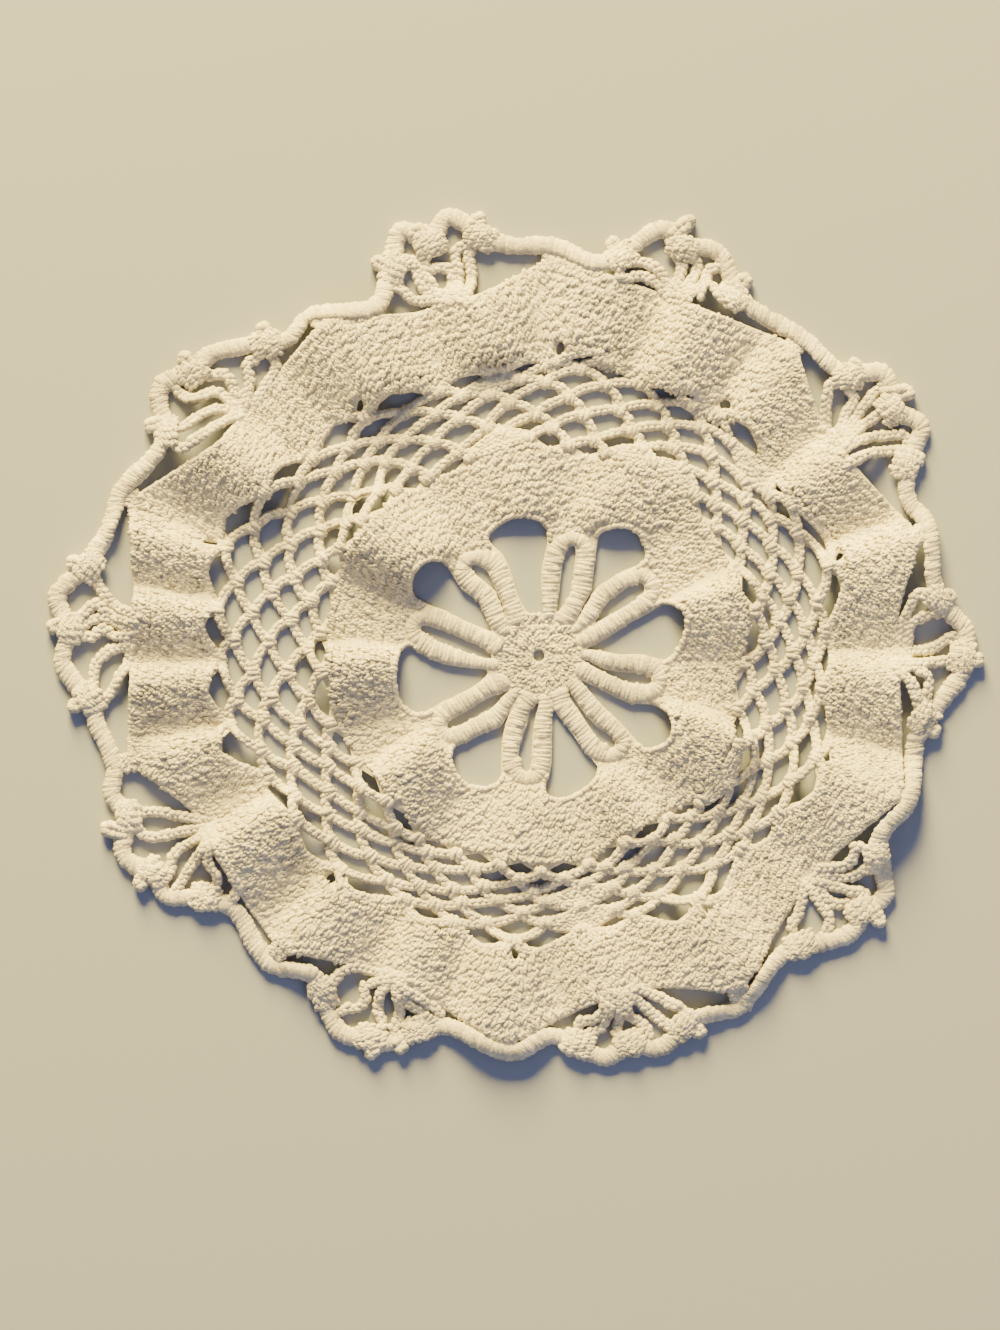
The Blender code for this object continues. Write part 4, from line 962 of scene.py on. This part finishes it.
# The middle line of each leg in mm from the hub, fan by fan, from the band to the cord
LEGS = (
    ((120.8, 4.2), (121.2, 11.3), (123.4, 16.4), (126.3, 20.9), (131.3, 19.3)),
    ((122.8, 3.6), (123.1, 8.7), (124.7, 11.5), (128.2, 13.2), (130.8, 14.8), (132.1, 17.0)),
    ((121.2, 1.7), (125.6, 1.7), (131.4, 2.6), (134.6, 4.9), (137.8, 6.5), (140.1, 7.2)),
    ((121.2, -2.5), (128.8, -2.2), (135.9, -1.5), (138.5, -0.3)),
    ((125.6, -4.4), (129.2, -6.7), (129.5, -9.9), (128.8, -14.4), (130.4, -16.0)),
    ((120.5, -6.0), (123.1, -8.6), (125.3, -13.1), (126.3, -16.9), (127.8, -19.8)),
    ((95.6, 77.4), (95.6, 81.9), (95.9, 86.3), (96.9, 90.2), (101.5, 92.9)),
    ((101.0, 76.7), (102.0, 80.6), (104.2, 83.8), (104.9, 86.3), (102.6, 88.9), (102.9, 91.9)),
    ((102.6, 75.4), (105.8, 79.9), (109.0, 84.4), (111.9, 87.9), (114.2, 89.5)),
    ((103.9, 72.9), (107.1, 76.4), (111.3, 79.0), (114.2, 81.5), (115.5, 84.4)),
    ((105.8, 71.6), (111.0, 72.9), (116.1, 73.5), (121.2, 73.5), (123.1, 71.3)),
    ((105.2, 65.2), (109.0, 67.1), (112.9, 67.8), (117.4, 68.4), (121.2, 68.4)),
    ((51.3, 121.1), (54.5, 123.2), (57.7, 123.0), (59.0, 121.1), (60.9, 118.5), (64.1, 116.8),
     (65.1, 118.8)),
    ((54.2, 122.4), (55.6, 125.6), (56.4, 128.5), (59.3, 129.1)),
    ((48.7, 122.4), (51.3, 125.6), (52.6, 130.1), (51.3, 133.9), (48.7, 137.1)),
    ((45.5, 123.0), (46.8, 126.9), (47.4, 130.7), (44.9, 134.6), (43.8, 138.2)),
    ((44.2, 122.4), (41.7, 125.6), (39.1, 128.8), (35.3, 130.9), (30.8, 131.0), (27.6, 130.1)),
    ((41.0, 121.7), (38.5, 124.3), (34.6, 126.2), (30.8, 126.2), (26.9, 125.6), (27.1, 131.8)),
    ((-24.0, 119.7), (-22.4, 125.4), (-22.8, 129.9), (-23.7, 133.8), (-20.1, 138.6)),
    ((-26.9, 120.8), (-26.9, 126.7), (-27.6, 131.9), (-27.2, 135.1), (-20.7, 139.2)),
    ((-30.1, 120.8), (-28.8, 124.8), (-29.8, 128.0), (-32.7, 129.6), (-35.9, 129.0), (-37.8, 130.5),
     (-37.5, 139.6)),
    ((-34.0, 120.3), (-36.0, 124.2), (-37.8, 127.4), (-39.1, 130.3), (-47.4, 129.6)),
    ((-35.9, 119.7), (-38.9, 122.9), (-40.5, 127.4), (-42.0, 131.2), (-44.9, 132.5)),
    ((-37.2, 118.4), (-40.4, 118.2), (-43.0, 119.0), (-45.5, 121.8), (-48.9, 122.8)),
    ((-94.0, 85.1), (-91.4, 89.6), (-88.8, 93.4), (-87.6, 97.2), (-88.8, 99.6), (-90.1, 102.7)),
    ((-97.5, 86.3), (-96.5, 90.2), (-96.5, 94.0), (-97.2, 97.2), (-94.0, 99.4), (-91.9, 102.8)),
    ((-101.3, 85.7), (-102.0, 89.6), (-103.6, 92.8), (-106.8, 94.0), (-110.0, 93.4),
     (-113.5, 94.5)),
    ((-104.2, 85.7), (-106.2, 87.6), (-109.4, 87.6), (-113.2, 86.0), (-117.1, 86.0), (-119.6, 87.6),
     (-121.2, 89.6)),
    ((-102.9, 81.4), (-107.4, 81.9), (-111.3, 80.6), (-115.1, 78.0), (-117.7, 76.1),
     (-122.7, 75.3)),
    ((-101.7, 79.3), (-106.2, 77.0), (-110.6, 73.9), (-115.1, 71.0), (-119.0, 68.7),
     (-123.4, 73.5)),
    ((-135.7, 14.0), (-137.0, 14.6), (-140.8, 16.6), (-144.0, 19.0), (-149.5, 28.9)),
    ((-137.0, 11.6), (-141.0, 13.0), (-144.8, 15.0), (-147.9, 17.4), (-155.3, 10.4)),
    ((-137.0, 9.0), (-139.5, 10.4), (-142.2, 12.2), (-145.7, 12.7), (-148.5, 12.2), (-151.1, 10.6),
     (-154.8, 9.6)),
    ((-138.9, 6.7), (-141.5, 6.7), (-143.4, 8.0), (-145.3, 9.3), (-147.2, 8.0), (-148.5, 6.1),
     (-154.9, 8.4)),
    ((-138.3, 2.9), (-142.1, 2.2), (-146.0, -0.6), (-147.9, -4.2), (-148.5, -10.6),
     (-149.5, -12.7)),
    ((-136.3, 1.0), (-137.0, -2.9), (-139.6, -6.7), (-141.5, -10.6), (-144.0, -13.8),
     (-148.3, -14.3)),
    ((-112.7, -54.6), (-117.8, -53.7), (-122.9, -52.6), (-128.1, -51.7), (-133.2, -52.4),
     (-135.5, -53.0)),
    ((-112.7, -57.5), (-117.8, -58.3), (-122.9, -59.4), (-130.6, -60.1), (-136.0, -55.0)),
    ((-111.4, -59.4), (-115.3, -61.7), (-120.4, -64.6), (-122.3, -67.8), (-122.9, -70.3),
     (-126.5, -71.8)),
    ((-110.8, -62.6), (-113.3, -66.5), (-116.5, -71.0), (-119.1, -75.4), (-121.0, -78.0)),
    ((-108.8, -62.0), (-110.1, -65.8), (-109.5, -69.7), (-107.1, -72.9), (-107.6, -76.1),
     (-110.0, -79.2)),
    ((-106.9, -62.6), (-104.4, -67.8), (-101.8, -72.9), (-99.9, -76.7), (-102.3, -81.4)),
    ((-50.2, -106.2), (-56.0, -104.9), (-60.4, -103.7), (-64.3, -104.3), (-66.9, -106.5),
     (-71.2, -111.2)),
    ((-51.5, -107.8), (-56.0, -109.1), (-58.5, -111.0), (-57.6, -113.6), (-59.2, -116.2),
     (-61.7, -117.4), (-64.3, -117.4), (-67.6, -119.4)),
    ((-50.2, -108.5), (-52.8, -112.3), (-53.4, -116.2), (-53.1, -120.0), (-52.1, -123.2),
     (-54.9, -126.2)),
    ((-47.0, -109.1), (-47.0, -113.6), (-46.3, -117.4), (-47.0, -121.3), (-48.6, -123.9),
     (-47.6, -126.1)),
    ((-45.4, -111.0), (-44.4, -114.2), (-41.9, -116.8), (-39.3, -118.1), (-39.7, -122.8)),
    ((-44.4, -110.8), (-40.6, -113.2), (-36.7, -115.8), (-33.5, -118.3), (-33.6, -121.3)),
    ((22.2, -113.5), (21.4, -118.0), (18.0, -121.1), (13.5, -122.0), (12.8, -127.9)),
    ((24.0, -114.7), (23.5, -118.5), (22.0, -121.7), (19.9, -124.3), (16.7, -125.2),
     (13.8, -128.4)),
    ((26.7, -115.3), (26.7, -119.8), (26.0, -123.7), (26.4, -127.5), (28.6, -128.6)),
    ((29.6, -115.3), (29.6, -119.2), (32.1, -121.0), (34.7, -122.9), (36.6, -125.5),
     (35.7, -128.3)),
    ((31.5, -113.4), (34.7, -116.4), (37.9, -119.2), (41.1, -121.7), (43.7, -123.7)),
    ((34.7, -111.5), (39.8, -113.4), (43.7, -115.8), (47.5, -117.2), (48.4, -121.8)),
    ((87.9, -79.6), (87.0, -83.5), (85.5, -87.3), (84.0, -89.9), (86.5, -95.2)),
    ((91.7, -79.6), (93.6, -82.8), (96.2, -86.0), (96.8, -89.2), (95.4, -92.0)),
    ((92.9, -76.8), (95.5, -80.3), (98.7, -82.8), (102.6, -82.2), (106.4, -80.9), (107.2, -83.3)),
    ((94.9, -75.6), (100.0, -77.1), (104.5, -78.3), (108.3, -79.0), (108.0, -83.2)),
    ((94.9, -72.8), (100.0, -73.7), (104.5, -73.1), (107.7, -71.3), (111.4, -68.2)),
    ((96.2, -70.4), (99.5, -70.3), (102.8, -69.2), (104.7, -66.6), (105.1, -62.9), (111.3, -66.2)),
)


def leg_row(number, places):
    """A leg's row, with its ends worked a little way into the band and round the cord."""
    line = [Vector(place) for place in places]
    start = line[0] + (line[0] - line[1]).normalized() * LEG_ROOT
    end = line[-1] + (line[-1] - line[-2]).normalized() * LEG_ROOT
    line = [start, start, *line, end, end]
    rise = NET_THICK / 2 + LEG_RISE + LEG_OVER * (number % 2)
    return [Step(curve(*line[index:index + 4], step / LEG_STEPS), rise, LEG_WIDE, LEG_HIGH)
            for index in range(len(line) - 3) for step in range(LEG_STEPS)]


legs = crochet("fan_legs", [leg_row(number, places) for number, places in enumerate(LEGS)],
               chain_link, LEG_PITCH, turn_deg=10.0, swell=0.12, astray=0.12, seed=81)

# --------------------------------------------------------------------------------------------
# The cord. A long chain covered closely with single crochet, so it is round and plump, with
# ribs that hardly show; it runs over the tops of all the fans and touches the band's points.

CORD_WIDTH = 6.6
CORD_CROWN = 3.2
CORD_RIB_PITCH = 1.5
CORD_STEPS = 5  # between two places of the cord
CORD_SWELL, CORD_SWELL_LENGTH = 0.16, 11.0  # how much plumper at most, and over how many mm
CORD_PLACES = ("dip", "knot", "arch", "top", "arch2", "knot2", "dip2", "cord")
CORD = [polar(getattr(fan, place + "_deg"), getattr(fan, place + "_r"))
        for fan in FANS for place in CORD_PLACES]


def cord_middle(place):
    """A point on the cord's smooth middle line; whole numbers are the places of CORD."""
    index = math.floor(place)
    return curve(*(CORD[(index + step) % len(CORD)] for step in (-1, 0, 1, 2)), place - index)


def cord_outward(place):
    """Unit direction out of the doily, across the cord."""
    step = 0.1
    along = cord_middle(place + step) - cord_middle(place - step)
    return Vector((along.y, -along.x)).normalized()


def cord_edge(place, width):
    """A point of the cord's outer edge, or of its inner edge where the width is negative."""
    return cord_middle(place) + cord_outward(place) * width / 2


def cord_step(place):
    """One step along the cord, which is plumper in some places than in others."""
    point = cord_middle(place)
    spot = point / CORD_SWELL_LENGTH
    plump = 1.0 + CORD_SWELL * noise.noise(Vector((spot.x, spot.y, 0.0)))
    return Step(point, CORD_CROWN / 2, plump, plump)


cord_rib = stitch_shape("cord_rib", [
    Strand((0.0, 0.0, 0.0), (2.2, CORD_WIDTH / 2, CORD_CROWN / 2), 0.0, 0.0, 12, 4),
])
cord_row = [cord_step(step / CORD_STEPS) for step in range(len(CORD) * CORD_STEPS)]
cord = crochet("border_cord", [cord_row], cord_rib, CORD_RIB_PITCH, closed=True, slant_deg=24.0,
               turn_deg=8.0, swell=0.055, astray=0.22, seed=91)

# --------------------------------------------------------------------------------------------
# The knots of the cord. Where a pair of legs is caught, a bunch of single crochet is worked
# round the cord and over the legs' ends, so there is a rough patch, wider than the cord.

BUNCH_HALF = 3.7  # mm along the cord
BUNCH_ROWS = (-3.9, -2.7, -1.5, -0.3, 0.9, 2.1)  # mm across it, out of the doily
BUNCH_ROUND = 5.2  # mm across it at which a bunch would come down to nothing
BUNCH_LOW, BUNCH_CROWN = 1.05, CORD_CROWN - 0.9  # least rise, and how much more at its top
BUNCH_FALL = 0.25  # how much less of a crown a row has at its ends, as a share
BUNCH_PITCH = 1.9
FOOT_HALF, FOOT_RISE = 3.2, 0.4
FOOT_ROWS = (-2.7, -1.4, -0.1, 1.2)
POINT_DEPTH = 2.6  # how far in from the band's points the cord is held
POINT_RISE = 0.2
POINT_ROWS = (-2.1, -0.7, 0.7, 2.1)


def bunch_row(place, across):
    """One row of a bunch, parallel to the cord, high in the middle and low at the sides."""
    root, out = cord_middle(place), cord_outward(place)
    along = Vector((-out.y, out.x))
    crown = math.sqrt(1.0 - (across / BUNCH_ROUND) ** 2)
    half = BUNCH_HALF * (0.55 + 0.45 * crown)  # the rows at its sides are shorter
    return [Step(root + out * across + along * half * reach,
                 BUNCH_LOW + BUNCH_CROWN * crown * (1.0 - BUNCH_FALL * reach * reach))
            for reach in (-1.0, -0.5, 0.0, 0.5, 1.0)]


def foot_row(fan_index, across):
    """One row of the smaller bunch round the feet of a fan's six legs."""
    first = LEGS_IN_FAN * fan_index
    feet = [Vector(leg[0]) for leg in LEGS[first:first + LEGS_IN_FAN]]
    root = sum(feet, Vector((0.0, 0.0))) / len(feet)
    out = root.normalized()
    along = Vector((-out.y, out.x))
    return [Step(root + out * across + along * FOOT_HALF * reach, BAND_THICK / 2 + FOOT_RISE)
            for reach in (-1.0, 0.0, 1.0)]


def point_row(index, across):
    """One row of the small bunch that holds the cord to a point of the band."""
    fan = FANS[index]
    root, tip = polar(fan.point_deg, fan.point_r - POINT_DEPTH), polar(fan.cord_deg, fan.cord_r)
    out = (tip - root).normalized()
    side = Vector((-out.y, out.x)) * across
    return [Step(end + side, BAND_THICK / 2 + POINT_RISE) for end in (root, tip)]


bunch_stitch = stitch_shape("bunch_stitch", [
    Strand((0.35, 0.25, 0.08), (2.1, 1.15, 0.86), 30.0, 5.0, 6, 3),
    Strand((-0.35, -0.25, 0.0), (2.1, 1.15, 0.86), -34.0, -5.0, 6, 3),
])
fans = range(len(FANS))
bunch_rows = [bunch_row(len(CORD_PLACES) * index + CORD_PLACES.index(knot), across)
              for index in fans for knot in ("knot", "top", "knot2") for across in BUNCH_ROWS]
bunch_rows += [foot_row(index, across) for index in fans for across in FOOT_ROWS]
bunch_rows += [point_row(index, across) for index in fans for across in POINT_ROWS]
bunches = crochet("leg_end_bunches", bunch_rows, bunch_stitch, BUNCH_PITCH, turn_deg=20.0,
                  swell=0.12, astray=0.2, seed=95)

# --------------------------------------------------------------------------------------------
# The picots. Little closed loops of chain that stand out from the cord near the three knots of
# every fan, pulled tight, so that they look like plump buttons.

PICOT_HALF = 1.3  # from the picot's middle line to the middle of the thread on either side
PICOT_TIP = 1.4  # from the middle of the thread at the loop's end to the picot's tip
PICOT_RISE = 0.1
PICOT_PITCH = 1.6
ROOT_STEPS = 10  # between two places of the cord, where a picot may stand

# The loop of a picot: shares of its length out from the cord, and of its half width across
PICOT_LOOP = ((0.0, -0.9), (0.45, -1.0), (0.75, -1.0), (0.95, -0.6), (1.0, 0.0), (0.95, 0.6),
              (0.75, 1.0), (0.45, 1.0), (0.0, 0.9))

# The tips of the picots in mm from the hub, three to a fan
PICOT_TIPS = (
    (133.2, -26.2), (148.0, -1.6), (138.2, 21.4),
    (128.2, 64.3), (125.0, 87.8), (105.0, 99.4),
    (70.8, 126.2), (51.6, 146.0), (23.4, 139.5),
    (-18.6, 147.1), (-39.0, 143.6), (-56.2, 131.7),
    (-92.2, 111.1), (-119.2, 101.2), (-131.6, 76.4),
    (-156.4, 33.1), (-163.9, 8.7), (-156.7, -17.8),
    (-146.2, -56.9), (-133.8, -77.9), (-113.2, -85.3),
    (-77.0, -113.2), (-56.4, -134.1), (-45.0, -132.4),
    (9.4, -133.0), (31.7, -133.8), (54.7, -126.9),
    (88.0, -100.8), (114.2, -90.2), (116.4, -66.2),
)


def picot_row(tip, middles):
    """The loop of a picot, out from the cord's middle line to its tip and back."""
    root = min(middles, key=lambda middle: (middle - tip).length)
    out = (tip - root).normalized()
    side, length = Vector((-out.y, out.x)), (tip - root).length - PICOT_TIP
    return [Step(root + out * length * reach + side * PICOT_HALF * across,
                 CORD_CROWN / 2 + PICOT_RISE) for reach, across in PICOT_LOOP]


picot_link = stitch_shape("picot_link", [
    Strand((0.0, 0.2, 0.2), (2.1, 1.85, 1.9), -20.0, 8.0, 8, 3),
])
cord_middles = [cord_middle(step / ROOT_STEPS) for step in range(len(CORD) * ROOT_STEPS)]
picots = crochet("picots", [picot_row(Vector(tip), cord_middles) for tip in PICOT_TIPS],
                 picot_link, PICOT_PITCH, turn_deg=18.0, swell=0.1, astray=0.2, seed=101)

# The patterns of single stitches have done their work
for pattern in (thread_ring, single_crochet, rib, chain_link, knot_stitch, cord_rib,
                bunch_stitch, picot_link):
    bpy.data.objects.remove(pattern, do_unlink=True)

# --------------------------------------------------------------------------------------------
# The ground. Between the strands that show, the backs of the stitches close the cloth; the
# ground is that matted middle of it, cut through where the lace is open.

GROUND_LOW, GROUND_HIGH, GROUND_NET = 0.5, 1.72, 1.0  # underside, top, and top in the net
NET_MARGINS = (-1.0, 3.5)  # mm from the net's edges where the ground starts to go down
NET_SLOPE = 1.5  # mm over which it does
CENTRE_HOLE, CENTRE_SIDES = 3.8, 12
GROUND_CORD = 4.0  # width of the ground under the cord
FAN_ROOM = 0.6  # the least width of the open space of a fan
CORD_CUTS, EDGE_CUTS = 4, 32  # between two places of the cord, and along a fan's band edge
MERGE = 0.08  # points of two outlines that are closer than this become one
FILL_SPACING = 3.2  # between the points that let the ground follow the pillows
FILL_RINGS = range(2, 44)
FILL_ROOM, FILL_NET_ROOM = 1.0, 1.5  # from the bands' edges, and from the net's last knots


def fan_gap(fan_index):
    """The open space of a fan, between the band's edge and the cord; its legs cross it."""
    far = FANS[fan_index].point_deg
    near = FANS[fan_index - 1].point_deg - (360.0 if fan_index == 0 else 0.0)
    places = [len(CORD_PLACES) * fan_index + step / CORD_CUTS
              for step in range(-CORD_CUTS, CORD_CUTS * (len(CORD_PLACES) - 1) + 1)]
    upper = [cord_edge(place, -GROUND_CORD) for place in places]
    lower = []
    for step in range(EDGE_CUTS + 1):
        deg = near + (far - near) * step / EDGE_CUTS
        lower.append(polar(deg, band_edge(fan_index, deg)))
    upper = [point for point in upper if band_clearance(fan_index, point) > FAN_ROOM]
    lower = [point for point in lower if cord_clearance(point, places) > FAN_ROOM]
    return upper + lower[::-1]


def band_clearance(fan_index, point):
    """How far a point lies outside the band's edge, in mm."""
    deg = degrees_of(point)
    deg += 360.0 * round((FANS[fan_index].deg - deg) / 360.0)
    return point.length - band_edge(fan_index, deg)


def cord_clearance(point, places):
    """How far a point lies inside the cord's inner edge, in mm, along a run of the cord."""
    place = min(places, key=lambda at: (cord_middle(at) - point).length)
    return (cord_edge(place, -GROUND_CORD) - point).dot(cord_outward(place))


def ground_plan():
    """Flat triangles of the ground seen from above, with their points."""
    loops = [[cord_edge(step / CORD_CUTS, GROUND_CORD) for step in range(len(CORD) * CORD_CUTS)],
             [polar(360 / CENTRE_SIDES * turn, CENTRE_HOLE / 2) for turn in range(CENTRE_SIDES)]]
    loops += [rounded(outline) for outline in PETAL_GAPS + SLOTS]
    loops += [slit_outline(slit) for slit in SLITS]
    loops += [net_gap(row, loop) for row in range(NET_ROWS) for loop in range(NET_LOOPS)
              if (row, loop) not in SHUT]
    loops += [fan_gap(index) for index in fans]
    points, outlines = [], []
    for loop in loops:
        turn = sum(a.x * b.y - b.x * a.y for a, b in zip(loop, loop[1:] + loop[:1]))
        loop = loop if turn > 0.0 else loop[::-1]
        outlines.append(list(range(len(points), len(points) + len(loop))))
        points += loop
    for ring in FILL_RINGS:
        radius = ring * FILL_SPACING
        count = round(2 * math.pi * radius / FILL_SPACING)
        for index in range(count):
            deg = 360.0 * (index + 0.5 * (ring % 2)) / count
            border = (net_edge(NET_ROWS, deg) + FILL_NET_ROOM, band_edge_all(deg) - FILL_ROOM)
            if radius < inner_edge(deg) - FILL_ROOM or border[0] < radius < border[1]:
                points.append(polar(deg, radius))
    cut = delaunay_2d_cdt(points, [], outlines, 0, MERGE)
    kept = [face for face, source in zip(cut[2], cut[5]) if list(source) == [0]]
    return cut[0], kept


def ground_top(point):
    """Height of the ground's upper side, which is lower where only chains cover it."""
    deg = degrees_of(point)
    into_net = min(point.length - inner_edge(deg) - NET_MARGINS[0],
                   net_edge(NET_ROWS, deg) + NET_MARGINS[1] - point.length)
    share = min(1.0, max(0.0, into_net / NET_SLOPE))
    return GROUND_HIGH + (GROUND_NET - GROUND_HIGH) * share


def ground_sheet():
    """The ground as one closed body: a top, an underside and a wall round every edge."""
    flat, triangles = ground_plan()
    used = sorted({index for face in triangles for index in face})
    number = {index: order for order, index in enumerate(used)}
    low = [on_cloth(flat[index], GROUND_LOW) for index in used]
    high = [on_cloth(flat[index], ground_top(flat[index])) for index in used]
    count = len(used)
    faces, edges = [], set()
    for face in triangles:
        a, b, c = (number[index] for index in face)
        faces += [(a + count, b + count, c + count), (c, b, a)]
        edges |= {(a, b), (b, c), (c, a)}
    faces += [wall for a, b in edges if (b, a) not in edges
              for wall in ((a, b, b + count), (a, b + count, a + count))]
    mesh = bpy.data.meshes.new("ground")
    mesh.from_pydata(low + high, [], faces)
    mesh.shade_smooth()
    return mesh, sum((flat[b] - flat[a]).cross(flat[c] - flat[a]) / 2
                     for a, b, c in triangles) * MM * MM


matted_cotton = spun_cotton("matted_cotton_ground", "#EAE1BF", "#ACA68F", 0.0)
ground_mesh, ground_area = ground_sheet()
ground_mesh.materials.append(matted_cotton)
ground = belongs(in_scene("ground", ground_mesh))

# --------------------------------------------------------------------------------------------
# The studio. A plain pale table top, one large soft lamp beyond the far edge of the doily,
# which rakes over the stitches, a weaker one opposite, and a camera straight above.

CAMERA_HEIGHT = 1.4  # m, as all sizes here
CAMERA_AIM = Vector((-0.0054, -0.009, 0.0))
FRAME_LONG_SIDE = 0.4433
FLOOR_HALF = 3.0

# The table top is painted wood, rubbed matt, which gives the eye an even pale grey
table_top = bpy.data.materials.new("painted_table_matt")
table_top.use_nodes = True
paint = table_top.node_tree.nodes["Principled BSDF"].inputs
paint["Base Color"].default_value = linear("#A4AAB6")
paint["Roughness"].default_value = 0.7
floor_mesh = bpy.data.meshes.new("floor")
floor_mesh.from_pydata([(x * FLOOR_HALF, y * FLOOR_HALF, 0.0) for x, y in (
    (-1, -1), (1, -1), (1, 1), (-1, 1))], [], [(0, 1, 2, 3)])
floor_mesh.materials.append(table_top)
floor = in_scene("floor", floor_mesh)

room = bpy.data.worlds.new("room")
room.use_nodes = True
daylight = room.node_tree.nodes["Background"].inputs
daylight["Color"].default_value = linear("#C4CAE8")
daylight["Strength"].default_value = 0.32
bpy.context.scene.world = room


def soft_lamp(name, place, width, watts, colour):
    """A square soft box that faces the doily."""
    light = bpy.data.lights.new(name, "AREA")
    light.shape, light.size, light.energy = "SQUARE", width, watts
    light.color = linear(colour)[:3]
    lamp = in_scene(name, light)
    lamp.location = place
    lamp.rotation_euler = (-Vector(place)).to_track_quat("-Z", "Y").to_euler()


soft_lamp("key_lamp", (-0.5, 2.4, 1.0), 1.1, 605.0, "#FFE080")
soft_lamp("fill_lamp", (0.7, -1.0, 1.0), 1.0, 6.0, "#C4CCF4")

camera_data = bpy.data.cameras.new("camera")
camera_data.sensor_width = 36.0
camera_data.lens = camera_data.sensor_width * CAMERA_HEIGHT / FRAME_LONG_SIDE
camera = in_scene("camera", camera_data)
camera.location = CAMERA_AIM + Vector((0.0, 0.0, CAMERA_HEIGHT))
bpy.context.scene.camera = camera
